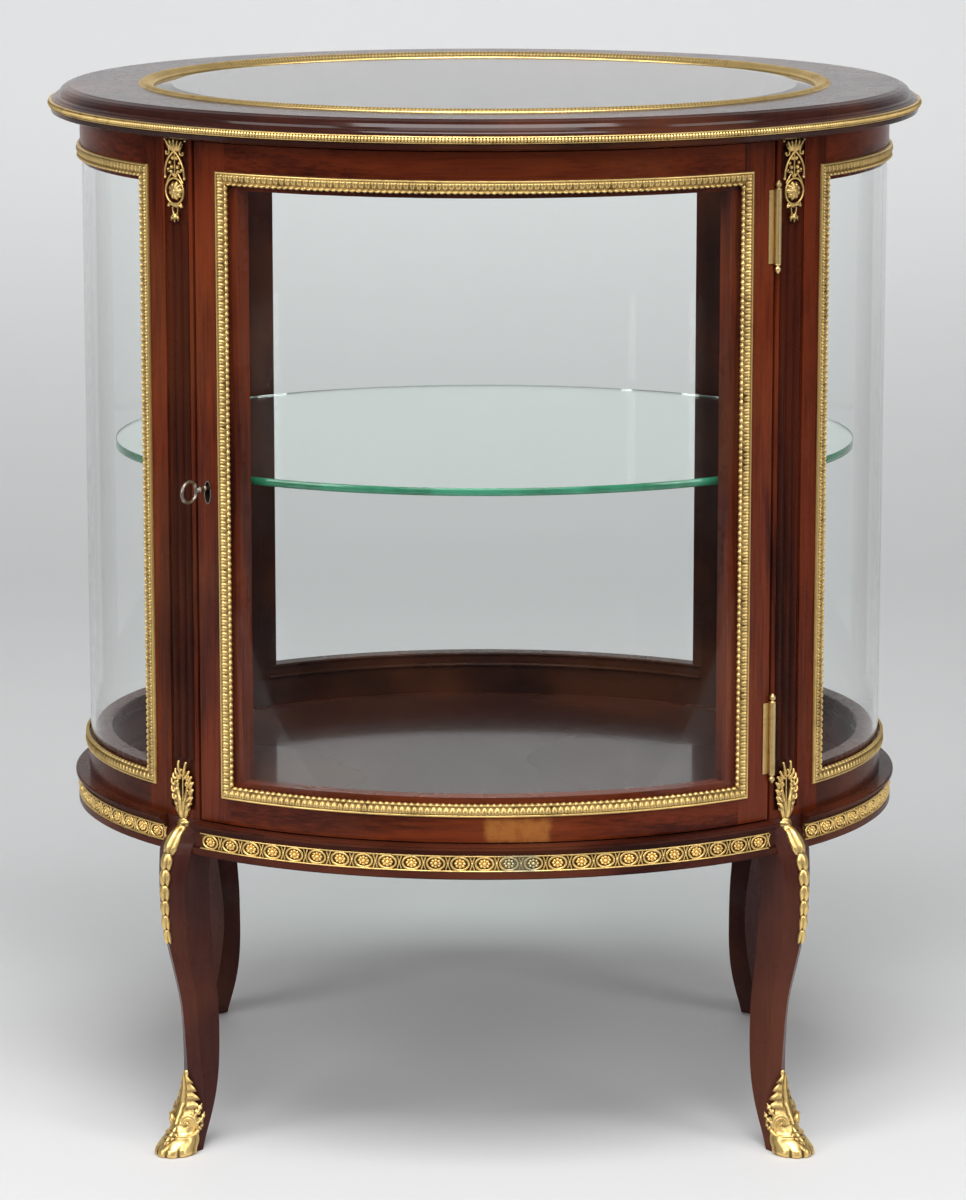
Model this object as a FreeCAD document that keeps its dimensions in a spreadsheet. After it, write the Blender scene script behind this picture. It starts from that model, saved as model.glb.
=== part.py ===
"""Oval display cabinet on four cabriole legs: mahogany, bent glass and gilt mounts.

+X runs along the oval, -Y is the door side, +Z is up and z = 0 is the floor. Angles on an oval
are its own parameter, in degrees from the +X end, so that one angle gives neighbouring points on
every oval that shares the case's centre.
"""

import FreeCAD, Part
import math
import os
import Sketcher

SIZES = {
    # the oval case
    "case_x": 371.0,
    "case_y": 291.0,
    "frame_depth": 20.0,
    "post_depth": 26.0,
    "lip_setback": 5.5,
    "case_foot": 312.0,
    "case_head": 926.0,
    "post_start": 35.6,
    "post_end": 46.4,
    "door_gap": 0.5,
    "front_opening": 52.4,
    "side_lip": 1.4,
    "front_lip": 1.7,
    "opening_foot": 346.0,
    "opening_head": 891.0,
    "lip_height": 7.0,
    "stop_reach": 2.2,
    "stop_clearance": 0.5,
    "door_clearance": 1.5,
    # glass
    "glass_thickness": 4.0,
    "glass_setback": 1.5,
    "glass_play": 0.5,
    "glass_play_angle": 0.12,
    "shelf_x": 342.0,
    "shelf_y": 262.0,
    "shelf_top": 626.0,
    "shelf_thickness": 7.0,
    # gilt frames round the glass
    "bead_width": 12.5,
    "bead_width_angle": 2.15,
    "bead_height": 4.5,
    "bead_foot": 336.5,
    "bead_head": 900.5,
    "side_bead_edge": 37.2,
    "front_bead_edge": 50.9,
    # top
    "top_x": 400.0,
    "top_y": 320.0,
    "top_height": 954.0,
    "top_edge_inset": 20.0,
    "edge_bead_foot": 934.7,
    "edge_bead_height": 6.6,
    "edge_bead_depth": 4.0,
    "ring_x": 317.0,
    "ring_y": 250.0,
    "ring_width": 14.0,
    "ring_seat": 951.2,
    "ring_crown": 957.0,
    "top_glass_x": 308.0,
    "top_glass_y": 241.0,
    "top_glass_seat": 947.0,
    "top_glass_thickness": 6.0,
    "bevel_width": 22.0,
    "bevel_drop": 2.5,
    "top_glass_rest": 11.0,
    # base
    "apron_foot": 282.0,
    "apron_projection": 13.0,
    "floor_thickness": 14.0,
    "floor_x": 344.0,
    "floor_y": 264.0,
    "frieze_foot": 289.0,
    "frieze_height": 15.4,
    "frieze_seat": 7.5,
    "frieze_depth": 3.0,
    "front_frieze_edge": 47.9,
    "side_frieze_edge": 40.6,
    # posts' panels
    "panel_angle": 43.2,
    "panel_turn": 39.5,
    "panel_width": 29.0,
    "panel_sink": 2.5,
    "panel_foot": 320.0,
    "panel_head": 920.0,
    "reed_radius": 4.3,
    "reed_pitch": 9.2,
    "reed_foot": 366.0,
    "reed_head": 850.0,
    # legs
    "leg_x": 271.0,
    "leg_y": 200.0,
    "leg_turn": 40.0,
    "leg_block_depth": 25.0,
    "leg_block_width": 37.6,
    # hinges
    "hinge_angle": 46.65,
    "hinge_stand": 3.4,
    "knuckle_radius": 2.9,
    "pin_radius": 1.4,
    "pin_play": 0.05,
    "hinge_height": 65.0,
    "knuckle_height": 20.0,
    "leaf_reach": 16.0,
    "leaf_thickness": 1.2,
    "upper_hinge_foot": 817.0,
    "lower_hinge_foot": 356.0,
    "finial_radius": 2.9,
    "wing_turn": 6.8,
    # lock
    "lock_angle": 131.2,
    "lock_turn": 34.6,
    "key_height": 618.0,
    "lock_thickness": 10.0,
    "lock_sink": 9.5,
    "lock_width": 21.5,
    "lock_edge": 7.5,
    "lock_height": 44.0,
    "bolt_height": 9.0,
    "bolt_thickness": 5.4,
    "bolt_length": 11.5,
    "bolt_sink": 12.5,
    "bolt_throw": 8.0,
    "bolt_play": 0.3,
    "keyhole_drop": 4.5,
    "keyhole_length": 10.5,
    "keyhole_width": 3.9,
    "escutcheon_wall": 1.0,
    "escutcheon_proud": 0.6,
    "shank_radius": 2.1,
    "shank_tip": 12.0,
    "bow_start": 14.5,
    "bow_length": 24.0,
    "bow_height": 22.0,
    "bow_wall": 3.6,
    "bow_thickness": 3.2,
    "bit_drop": 7.0,
    "bit_length": 1.5,
    "bit_thickness": 1.8,
    "bit_chamber_depth": 12.3,
    "bit_slot_length": 4.0,
    "key_play": 0.4,
    # screws
    "screw_radius": 1.2,
    "screw_length": 11.0,
    "screw_head": 2.3,
    "screw_inset": 9.0,
    # shelf pegs
    "peg_radius": 2.5,
    "peg_reach": 12.0,
    "peg_root": 8.0,
}

SIDES = {"left": -1, "right": 1}
CORNERS = {
    "front_left": (-1, -1),
    "front_right": (1, -1),
    "rear_left": (-1, 1),
    "rear_right": (1, 1),
}

# A leg's sections from the floor up, each a blunt arrow that points outwards: height, where its
# arris stands, half its width, the depth of its point, and where its back lies.
LEG_SECTIONS = (
    (0, 20.0, 14.0, 8.0, -6.0),
    (20, 6.0, 11.5, 7.0, -16.5),
    (45, -1.0, 12.0, 7.0, -25.0),
    (86, -0.6, 10.5, 7.0, -32.6),
    (135, 4.2, 10.6, 8.0, -31.6),
    (180, 15.7, 12.5, 9.0, -24.0),
    (215, 24.0, 14.4, 10.5, -19.0),
    (250, 26.0, 15.5, 10.0, -16.0),
    (282, 21.5, 18.8, 10.0, -18.0),
)
# The knee's shoulder above the apron's foot: height and how far out the arris stands.
SHOULDER_SECTIONS = ((282, 21.5), (290, 17.5), (298, 11.0), (305, 2.5), (310, -4.0))
SHOULDER_POINT = 10.0
# The knee mount's strip down the arris: height, arris and half width.
CHAIN_SECTIONS = ((188, 17.9, 3.8), (215, 24.0, 5.2), (250, 26.0, 6.2), (282, 21.5, 7.5))
NECK_SECTIONS = ((282, 21.5, 7.5), (290, 17.5, 7.0), (298, 11.0, 6.5), (306, 1.2, 6.0))
MOUNT_SLOPE = 0.6
# The paw's oval sections: height, middle, half length, half width.
PAW_SECTIONS = (
    (0, 12.0, 23.0, 18.0),
    (7, 12.0, 23.0, 18.2),
    (13, 8.0, 18.5, 16.5),
    (20, 3.5, 13.5, 13.6),
    (32, -1.5, 12.0, 14.5),
    (45, -7.0, 10.5, 13.5),
    (58, -7.0, 8.5, 9.5),
    (72, -4.5, 6.0, 6.0),
)

doc = FreeCAD.newDocument("DisplayTable")
sheet = doc.addObject("Spreadsheet::Sheet", "Dims")
for row, (alias, number) in enumerate(SIZES.items(), start=1):
    sheet.set(f"A{row}", alias)
    sheet.set(f"B{row}", str(number))
    sheet.setAlias(f"B{row}", alias)
doc.recompute()

parts = []


class Size:
    """A length or angle with the sheet expression that gives it."""

    def __init__(self, value, text):
        self.value = float(value)
        self.text = text

    def __add__(self, other):
        other = as_size(other)
        return Size(self.value + other.value, f"({self.text} + {other.text})")

    def __sub__(self, other):
        other = as_size(other)
        return Size(self.value - other.value, f"({self.text} - {other.text})")

    def __mul__(self, other):
        other = as_size(other)
        return Size(self.value * other.value, f"({self.text} * {other.text})")

    def __truediv__(self, other):
        other = as_size(other)
        return Size(self.value / other.value, f"({self.text} / {other.text})")

    def __neg__(self):
        return Size(-self.value, f"(0 - {self.text})")

    __radd__ = __add__
    __rmul__ = __mul__

    def __rsub__(self, other):
        return as_size(other) - self


def as_size(number):
    """Plain numbers take part in sums of sizes."""
    if isinstance(number, Size):
        return number
    return Size(number, f"({float(number)})")


def dim(alias):
    """A driving dimension of the sheet."""
    return Size(float(sheet.get(alias)), f"Dims.{alias}")


def cosine(angle):
    angle = as_size(angle)
    return Size(math.cos(math.radians(angle.value)), f"cos({angle.text})")


def sine(angle):
    angle = as_size(angle)
    return Size(math.sin(math.radians(angle.value)), f"sin({angle.text})")


def bind(thing, name, amount):
    """Sets a property, or a path into one, by its expression."""
    thing.setExpression(name, as_size(amount).text)


def keep(thing, label):
    """Marks an object as a sub-part, with its own label."""
    thing.Label = label
    parts.append(thing)
    return thing


# ---------------------------------------------------------------- sketches and features


def new_body(name):
    return doc.addObject("PartDesign::Body", name + "_body")


def new_sketch(body, name, offset=0.0, role="XY_Plane"):
    """A sketch parallel to one of the body's origin planes, offset along its normal."""
    sketch = body.newObject("Sketcher::SketchObject", name)
    plane = [feature for feature in body.Origin.OriginFeatures if feature.Role == role][0]
    sketch.AttachmentSupport = (plane, [""])
    sketch.MapMode = "FlatFace"
    offset = as_size(offset)
    sketch.AttachmentOffset = FreeCAD.Placement(FreeCAD.Vector(0, 0, offset.value), FreeCAD.Rotation())
    bind(sketch, "AttachmentOffset.Base.z", offset)
    return sketch


def drive(sketch, constraint, amount):
    """Adds a dimension to a sketch and binds it."""
    index = sketch.addConstraint(constraint)
    bind(sketch, f"Constraints[{index}]", amount)


def pin_point(sketch, geometry, end, point):
    """Holds a point of a sketch at (x, y) from its origin."""
    for kind, amount in zip(("DistanceX", "DistanceY"), point):
        amount = as_size(amount)
        drive(sketch, Sketcher.Constraint(kind, -1, 1, geometry, end, amount.value), amount)


def vector(point):
    return FreeCAD.Vector(as_size(point[0]).value, as_size(point[1]).value, 0)


def polygon(sketch, points):
    """A closed outline of straight lines through bound points."""
    ids = []
    for start, end in zip(points, points[1:] + points[:1]):
        ids.append(sketch.addGeometry(Part.LineSegment(vector(start), vector(end)), False))
    for here, there in zip(ids, ids[1:] + ids[:1]):
        sketch.addConstraint(Sketcher.Constraint("Coincident", here, 2, there, 1))
    for line, point in zip(ids, points):
        pin_point(sketch, line, 1, point)


def circle(sketch, centre, radius):
    radius = as_size(radius)
    index = sketch.addGeometry(Part.Circle(vector(centre), FreeCAD.Vector(0, 0, 1), radius.value), False)
    pin_point(sketch, index, 3, centre)
    drive(sketch, Sketcher.Constraint("Radius", index, radius.value), radius)


def hold_axes(sketch, curve, semi_x, semi_y, centre=(0.0, 0.0)):
    """Fixes an oval's middle and both axes. Its axis lines follow it in the sketch."""
    major, minor = curve + 1, curve + 2
    sketch.exposeInternalGeometry(curve)
    pin_point(sketch, curve, 3, centre)
    flat = semi_x.value > semi_y.value
    sketch.addConstraint(Sketcher.Constraint("Horizontal" if flat else "Vertical", major))
    long_axis, short_axis = (semi_x, semi_y) if flat else (semi_y, semi_x)
    drive(sketch, Sketcher.Constraint("Distance", major, 2 * long_axis.value), 2 * long_axis)
    drive(sketch, Sketcher.Constraint("Distance", minor, 2 * short_axis.value), 2 * short_axis)


def oval(sketch, semi_x, semi_y, centre=(0.0, 0.0)):
    """A whole oval."""
    semi_x, semi_y = as_size(semi_x), as_size(semi_y)
    middle = vector(centre)
    if semi_x.value > semi_y.value:
        shape = Part.Ellipse(middle, semi_x.value, semi_y.value)
    else:
        end = middle + FreeCAD.Vector(0, semi_y.value, 0)
        side = middle + FreeCAD.Vector(semi_x.value, 0, 0)
        shape = Part.Ellipse(end, side, middle)
    curve = sketch.addGeometry(shape, False)
    hold_axes(sketch, curve, semi_x, semi_y, centre)


def oval_arc(sketch, semi_x, semi_y, start, end):
    """Part of an oval from one angle to another. Returns its number in the sketch."""
    shape = Part.Ellipse(FreeCAD.Vector(), semi_x.value, semi_y.value)
    first, last = math.radians(start.value), math.radians(end.value)
    curve = sketch.addGeometry(Part.ArcOfEllipse(shape, first, last), False)
    hold_axes(sketch, curve, semi_x, semi_y)
    for place, angle in ((1, start), (2, end)):
        along_x = abs(math.sin(math.radians(angle.value))) > 0.5
        kind = "DistanceX" if along_x else "DistanceY"
        amount = semi_x * cosine(angle) if along_x else semi_y * sine(angle)
        drive(sketch, Sketcher.Constraint(kind, -1, 1, curve, place, amount.value), amount)
    return curve


def sector(sketch, outset, inset, start, end):
    """The strip between two ovals, given by how far they lie outside and inside the case."""
    start, end = as_size(start), as_size(end)
    outer = oval_arc(sketch, CASE_X + outset, CASE_Y + outset, start, end)
    inner = oval_arc(sketch, CASE_X - inset, CASE_Y - inset, start, end)
    for place in (1, 2):
        line = Part.LineSegment(sketch.getPoint(outer, place), sketch.getPoint(inner, place))
        index = sketch.addGeometry(line, False)
        sketch.addConstraint(Sketcher.Constraint("Coincident", index, 1, outer, place))
        sketch.addConstraint(Sketcher.Constraint("Coincident", index, 2, inner, place))


def pad(body, sketch, length):
    feature = body.newObject("PartDesign::Pad", sketch.Name + "Pad")
    feature.Profile = sketch
    bind(feature, "Length", length)
    doc.recompute()
    return feature


def pocket(body, sketch, length):
    """Cuts downwards from a sketch, and makes sure that it took something away."""
    before = body.Shape.Volume
    feature = body.newObject("PartDesign::Pocket", sketch.Name + "Pocket")
    feature.Profile = sketch
    bind(feature, "Length", length)
    doc.recompute()
    if not body.Shape.Volume < before:
        raise RuntimeError(f"{sketch.Name} cut nothing")
    return feature


def loft(body, name, sketches, ruled=False):
    feature = body.newObject("PartDesign::AdditiveLoft", name)
    feature.Profile = sketches[0]
    feature.Sections = sketches[1:]
    feature.Ruled = ruled
    doc.recompute()
    return feature


def turned(body, name, semi_x, semi_y, profile, kind="Additive"):
    """A skin through ovals, given as (outset, height) from the foot up."""
    sketches = []
    for number, (outset, level) in enumerate(profile):
        sketch = new_sketch(body, f"{name}_{number}", level)
        oval(sketch, semi_x + outset, semi_y + outset)
        sketches.append(sketch)
    feature = body.newObject(f"PartDesign::{kind}Loft", name)
    feature.Profile = sketches[0]
    feature.Sections = sketches[1:]
    feature.Ruled = True
    doc.recompute()
    return feature


def boolean(kind, name, base, tool):
    feature = doc.addObject(f"Part::{kind}", name)
    feature.Base = base
    feature.Tool = tool
    doc.recompute()
    return feature


def compound(name, members):
    feature = doc.addObject("Part::Compound", name)
    feature.Links = members
    doc.recompute()
    return feature


def box(name, size, place):
    """A block with its size bound and its corner at a place of its own frame."""
    feature = doc.addObject("Part::Box", name)
    for side, amount in zip(("Length", "Width", "Height"), size):
        bind(feature, side, amount)
    feature.Placement = place
    return feature


def cylinder(name, radius, height, place):
    feature = doc.addObject("Part::Cylinder", name)
    bind(feature, "Radius", radius)
    bind(feature, "Height", height)
    feature.Placement = place
    return feature


CASE_X = dim("case_x")
CASE_Y = dim("case_y")
FRAME = dim("frame_depth")
LIP = dim("lip_setback")
FOOT = dim("case_foot")
HEAD = dim("case_head")
OPEN_FOOT = dim("opening_foot")
OPEN_HEAD = dim("opening_head")
LIP_HEIGHT = dim("lip_height")


def span(side, front, start, end):
    """The two angles of a stretch in the quarter on one side, at the front (-1) or rear (1)."""
    start, end = as_size(start), as_size(end)
    if side < 0:
        start, end = 180 - end, 180 - start
    if front < 0:
        start, end = -end, -start
    return start, end


def end_span(side, reach):
    """The stretch round the left or right end, reach degrees each way."""
    reach = as_size(reach)
    middle = 0 if side > 0 else 180
    return middle - reach, middle + reach


def face_span(front, edge):
    """The stretch across the front or the rear, from edge degrees of one end to the other."""
    edge = as_size(edge)
    if front > 0:
        return edge, 180 - edge
    return edge - 180, -edge


def at_panel(corner, out, along):
    """A point at a corner post: out from the case at its panel's middle, and along its face."""
    side, front = corner
    angle, turn = dim("panel_angle"), dim("panel_turn")
    x = CASE_X * cosine(angle) + out * sine(turn) + along * cosine(turn)
    y = CASE_Y * sine(angle) + out * cosine(turn) - along * sine(turn)
    return side * x, front * y


def frame_piece(label, angles, foot, head, lips):
    """A bent rail or stile, with the lips that the glass lies against."""
    body = new_body(label)
    plan = new_sketch(body, label + "_plan", foot)
    sector(plan, 0, FRAME, *angles)
    pad(body, plan, head - foot)
    for number, (lip_angles, lip_foot, lip_head) in enumerate(lips):
        lip = new_sketch(body, f"{label}_lip{number}", lip_foot)
        sector(lip, -LIP, FRAME, *lip_angles)
        pad(body, lip, lip_head - lip_foot)
    return body


def sheet_piece(label, angles, foot, head, outer, thickness):
    """A bent pane or strip between two heights. outer is how far inside the case it starts."""
    body = new_body(label)
    plan = new_sketch(body, label + "_plan", foot)
    sector(plan, -outer, outer + thickness, *angles)
    pad(body, plan, head - foot)
    return body


def bead_frame(label, outer, inner):
    """A gilt frame: a bent plate with the window cut out of it."""
    body = new_body(label)
    width, height = dim("bead_width"), dim("bead_height")
    foot, head = dim("bead_foot"), dim("bead_head")
    plate = new_sketch(body, label + "_plate", foot)
    sector(plate, height, 0, *outer)
    pad(body, plate, head - foot)
    window = new_sketch(body, label + "_window", head - width)
    sector(window, height + 1, 1, *inner)
    pocket(body, window, head - foot - 2 * width)
    return keep(body, label)


# ---------------------------------------------------------------- the top


def make_top():
    body = new_body("top_frame")
    height = dim("top_height")
    edge_foot = dim("edge_bead_foot")
    edge_head = edge_foot + dim("edge_bead_height")
    seat = -dim("edge_bead_depth")
    flat = -dim("top_edge_inset")
    moulding = (
        (seat - 20, HEAD),
        (seat - 15, HEAD + 0.8),
        (seat - 8, HEAD + 1.6),
        (seat - 2.5, HEAD + 2.8),
        (seat + 0.6, HEAD + 4.2),
        (seat + 1.2, edge_foot - 0.8),
        (seat + 0.8, edge_foot - 0.1),
        (seat, edge_foot),
        (seat, edge_head),
        (seat + 0.2, edge_head + 0.3),
        (flat + 14.0, height - 11.0),
        (flat + 13.4, height - 10.0),
        (flat + 12.2, height - 9.2),
        (flat + 10.0, height - 8.6),
        (flat + 9.4, height - 6.6),
        (flat + 7.4, height - 3.8),
        (flat + 4.6, height - 1.8),
        (flat + 1.2, height - 0.6),
        (flat, height),
    )
    turned(body, "top_moulding", dim("top_x"), dim("top_y"), moulding)
    rest, play = dim("top_glass_rest"), dim("glass_play")
    opening = new_sketch(body, "top_opening", height)
    oval(opening, dim("top_glass_x") - rest, dim("top_glass_y") - rest)
    pocket(body, opening, height - HEAD)
    ring_cut = new_sketch(body, "ring_rebate", height)
    oval(ring_cut, dim("ring_x"), dim("ring_y"))
    pocket(body, ring_cut, height - dim("ring_seat"))
    glass_cut = new_sketch(body, "top_glass_rebate", height)
    oval(glass_cut, dim("top_glass_x") + play, dim("top_glass_y") + play)
    pocket(body, glass_cut, height - dim("top_glass_seat"))
    keep(body, "top_frame")

    trim = new_body("top_edge_bead")
    depth, tall = dim("edge_bead_depth"), dim("edge_bead_height")
    rounded = (
        (-depth * 0.6, edge_foot),
        (-depth * 0.2, edge_foot + tall * 0.1),
        (-depth * 0.04, edge_foot + tall * 0.3),
        (depth * 0, edge_foot + tall * 0.5),
        (-depth * 0.04, edge_foot + tall * 0.7),
        (-depth * 0.2, edge_foot + tall * 0.9),
        (-depth * 0.6, edge_head),
    )
    turned(trim, "edge_bead", dim("top_x"), dim("top_y"), rounded)
    inside = new_sketch(trim, "edge_bead_inside", edge_head)
    oval(inside, dim("top_x") - depth, dim("top_y") - depth)
    pocket(trim, inside, tall)
    keep(trim, "top_edge_bead")


def make_top_glass():
    body = new_body("top_glass")
    semi_x, semi_y = dim("top_glass_x"), dim("top_glass_y")
    seat, head = dim("top_glass_seat"), dim("top_glass_seat") + dim("top_glass_thickness")
    rim = head - dim("bevel_drop")
    bevel = ((semi_x * 0, seat), (semi_x * 0, rim), (-dim("bevel_width"), head))
    turned(body, "pane", semi_x, semi_y, bevel)
    keep(body, "top_glass")

    ring = new_body("top_glass_ring")
    low, crown, width = dim("ring_seat"), dim("ring_crown"), dim("ring_width")
    outer = (
        (width * 0, low),
        (width * 0, low + 2.6),
        (-width * 0.1, crown - 1.0),
        (-width * 0.35, crown),
    )
    turned(ring, "ring_outside", dim("ring_x"), dim("ring_y"), outer)
    inner = (
        (-width, low),
        (-width, low + 1.2),
        (-width * 0.75, crown - 1.6),
        (-width * 0.45, crown),
    )
    turned(ring, "ring_inside", dim("ring_x"), dim("ring_y"), inner, "Subtractive")
    keep(ring, "top_glass_ring")


# ---------------------------------------------------------------- posts, rails and glass


def make_post(name, corner):
    side, front = corner
    label = f"post_{name}"
    start, end = dim("post_start"), dim("post_end")
    body = new_body(label)
    plan = new_sketch(body, label + "_plan", FOOT)
    sector(plan, 0, dim("post_depth"), *span(side, front, start, end))
    pad(body, plan, HEAD - FOOT)
    lip = new_sketch(body, label + "_lip", OPEN_FOOT + LIP_HEIGHT)
    sector(lip, -LIP, FRAME, *span(side, front, start - dim("side_lip"), start))
    pad(body, lip, OPEN_HEAD - OPEN_FOOT - 2 * LIP_HEIGHT)
    stop = new_sketch(body, label + "_stop", FOOT)
    behind = FRAME + dim("stop_clearance")
    sector(stop, -behind, dim("post_depth"), *span(side, front, end, end + dim("stop_reach")))
    pad(body, stop, HEAD - FOOT)

    half = dim("panel_width") / 2
    sink = dim("panel_sink")
    corners = ((-sink, -half), (-sink, half), (6, half), (6, -half))
    panel = new_sketch(body, label + "_panel", dim("panel_head"))
    polygon(panel, [at_panel(corner, out, along) for out, along in corners])
    pocket(body, panel, dim("panel_head") - dim("panel_foot"))
    reeds = new_sketch(body, label + "_reeds", dim("reed_foot"))
    for step in (-1, 0, 1):
        centre = at_panel(corner, -sink - 2.0, step * dim("reed_pitch"))
        circle(reeds, centre, dim("reed_radius"))
    pad(body, reeds, dim("reed_head") - dim("reed_foot"))
    return body


def peg_place(corner):
    """Where a shelf peg starts inside its post, and the way in towards the shelf."""
    side, front = corner
    angle = SIZES["panel_angle"]
    depth = SIZES["post_depth"] - SIZES["peg_root"]
    x = side * (SIZES["case_x"] - depth) * math.cos(math.radians(angle))
    y = front * (SIZES["case_y"] - depth) * math.sin(math.radians(angle))
    z = SIZES["shelf_top"] - SIZES["shelf_thickness"] - SIZES["peg_radius"]
    turn = math.radians(SIZES["panel_turn"])
    inward = FreeCAD.Vector(-side * math.sin(turn), -front * math.cos(turn), 0)
    return FreeCAD.Placement(FreeCAD.Vector(x, y, z), FreeCAD.Rotation(FreeCAD.Vector(0, 0, 1), inward))


def make_posts():
    pegs, posts = [], {}
    for name, corner in CORNERS.items():
        body = make_post(name, corner)
        length = dim("peg_root") + dim("peg_reach")
        peg = cylinder(f"peg_{name}", dim("peg_radius"), length, peg_place(corner))
        pegs.append(peg)
        drilled = boolean("Cut", f"drilled_post_{name}", body, peg)
        if name == "front_left":
            reach = SIZES["lock_edge"] + SIZES["bolt_throw"] + 1
            mortise = bolt_box("bolt_mortise", 0.6, -reach, 9.0)
            drilled = boolean("Cut", "mortised_post", drilled, mortise)
        posts[name] = drilled
        if name != "front_right":
            keep(drilled, f"post_{name}")
    keep(compound("pegs", pegs), "shelf_pegs")
    return posts


def make_side(name, side):
    """One glazed end: two rails, the pane and its gilt frame."""
    reach, lip = dim("post_start"), dim("side_lip")
    angles = end_span(side, reach)
    lip_head = (angles, OPEN_HEAD - LIP_HEIGHT, OPEN_HEAD)
    lip_foot = (angles, OPEN_FOOT, OPEN_FOOT + LIP_HEIGHT)
    keep(frame_piece(f"rail_top_{name}", angles, OPEN_HEAD, HEAD, [lip_head]), f"rail_top_{name}")
    keep(frame_piece(f"rail_foot_{name}", angles, FOOT, OPEN_FOOT, [lip_foot]), f"rail_foot_{name}")
    play = dim("glass_play")
    pane = sheet_piece(
        f"glass_{name}",
        end_span(side, reach - dim("glass_play_angle")),
        OPEN_FOOT + play,
        OPEN_HEAD - play,
        dim("glass_setback"),
        dim("glass_thickness"),
    )
    keep(pane, f"glass_{name}")
    edge = dim("side_bead_edge")
    bead_frame(f"bead_{name}", end_span(side, edge), end_span(side, edge - dim("bead_width_angle")))


def make_face(name, front, edge, foot, head):
    """The rear frame or the door: two stiles, two rails, the pane and its gilt frame."""
    opening, lip = dim("front_opening"), dim("front_lip")
    stiles = {}
    for side_name, side in SIDES.items():
        label = f"{name}_stile_{side_name}"
        lip_angles = span(side, front, opening, opening + lip)
        lips = [(lip_angles, OPEN_FOOT + LIP_HEIGHT, OPEN_HEAD - LIP_HEIGHT)]
        stiles[side_name] = frame_piece(label, span(side, front, edge, opening), foot, head, lips)
    angles = face_span(front, opening)
    lip_head = (angles, OPEN_HEAD - LIP_HEIGHT, OPEN_HEAD)
    lip_foot = (angles, OPEN_FOOT, OPEN_FOOT + LIP_HEIGHT)
    keep(frame_piece(f"{name}_rail_top", angles, OPEN_HEAD, head, [lip_head]), f"{name}_rail_top")
    keep(frame_piece(f"{name}_rail_foot", angles, foot, OPEN_FOOT, [lip_foot]), f"{name}_rail_foot")
    play = dim("glass_play")
    pane = sheet_piece(
        f"{name}_glass",
        face_span(front, opening + dim("glass_play_angle")),
        OPEN_FOOT + play,
        OPEN_HEAD - play,
        dim("glass_setback"),
        dim("glass_thickness"),
    )
    keep(pane, f"{name}_glass")
    bead = dim("front_bead_edge")
    inner = face_span(front, bead + dim("bead_width_angle"))
    bead_frame(f"{name}_bead", face_span(front, bead), inner)
    return stiles


def make_header():
    """The rail behind the door's head, which stops it and joins the front posts."""
    body = new_body("door_header")
    edge = dim("post_end") + dim("stop_reach")
    plan = new_sketch(body, "header_plan", OPEN_HEAD + 3)
    sector(plan, -(FRAME + dim("stop_clearance")), FRAME * 2, *face_span(-1, edge + 0.05))
    pad(body, plan, HEAD - OPEN_HEAD - 3)
    keep(body, "door_header")


def make_shelf():
    body = new_body("shelf_glass")
    thickness = dim("shelf_thickness")
    plan = new_sketch(body, "shelf_plan", dim("shelf_top") - thickness)
    oval(plan, dim("shelf_x"), dim("shelf_y"))
    pad(body, plan, thickness)
    keep(body, "shelf_glass")


# ---------------------------------------------------------------- the base


def at_leg(corner, out, along):
    """A point at a leg: out along the way its arris faces, and along the face across it."""
    side, front = corner
    turn = dim("leg_turn")
    x = dim("leg_x") + out * sine(turn) + along * cosine(turn)
    y = dim("leg_y") + out * cosine(turn) - along * sine(turn)
    return side * x, front * y


def make_apron(name, angles, corners):
    """One stretch of the moulded base between two legs."""
    body = new_body(f"apron_{name}")
    foot, reach = dim("apron_foot"), dim("apron_projection")
    band_foot = dim("frieze_foot")
    band_head = band_foot + dim("frieze_height")
    seat = dim("frieze_seat")
    inner = CASE_X - dim("floor_x")
    steps = (
        (foot, foot + 1.4, reach - 4.4),
        (foot + 1.4, band_foot, reach - 2.6),
        (band_foot, band_head, seat),
        (band_head, band_head + 1.6, reach - 4.6),
        (band_head + 1.6, FOOT - 4.2, reach - 3.8),
        (FOOT - 4.2, FOOT - 2.8, reach - 2.0),
        (FOOT - 2.8, FOOT - 0.8, reach),
        (FOOT - 0.8, FOOT, reach - 1.0),
    )
    for number, (low, high, outset) in enumerate(steps):
        plan = new_sketch(body, f"apron_{name}_step{number}", low)
        sector(plan, outset, inner, *angles)
        pad(body, plan, high - low)
    half = dim("leg_block_width") / 2 + 0.2
    for number, corner in enumerate(corners):
        notch = new_sketch(body, f"apron_{name}_notch{number}", FOOT)
        outline = ((-40, -half), (-40, half), (30, half), (30, -half))
        polygon(notch, [at_leg(corner, out, along) for out, along in outline])
        pocket(body, notch, FOOT - foot)
    keep(body, f"apron_{name}")


def make_frieze(name, angles):
    """The gilt band let into an apron."""
    foot = dim("frieze_foot")
    body = new_body(f"frieze_{name}")
    plan = new_sketch(body, f"frieze_{name}_plan", foot)
    seat = dim("frieze_seat")
    sector(plan, seat + dim("frieze_depth"), -seat, *angles)
    pad(body, plan, dim("frieze_height"))
    keep(body, f"frieze_{name}")


def make_base():
    middle = (dim("post_start") + dim("front_opening")) / 2
    for name, side in SIDES.items():
        corners = [corner for corner in CORNERS.values() if corner[0] == side]
        make_apron(name, end_span(side, middle), corners)
        make_frieze(name, end_span(side, dim("side_frieze_edge")))
    for name, front in (("front", -1), ("rear", 1)):
        corners = [corner for corner in CORNERS.values() if corner[1] == front]
        make_apron(name, face_span(front, middle), corners)
        make_frieze(name, face_span(front, dim("front_frieze_edge")))
    body = new_body("floor_board")
    plan = new_sketch(body, "floor_plan", FOOT - dim("floor_thickness"))
    oval(plan, dim("floor_x"), dim("floor_y"))
    pad(body, plan, dim("floor_thickness"))
    keep(body, "floor_board")


# ---------------------------------------------------------------- legs and their mounts


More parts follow.
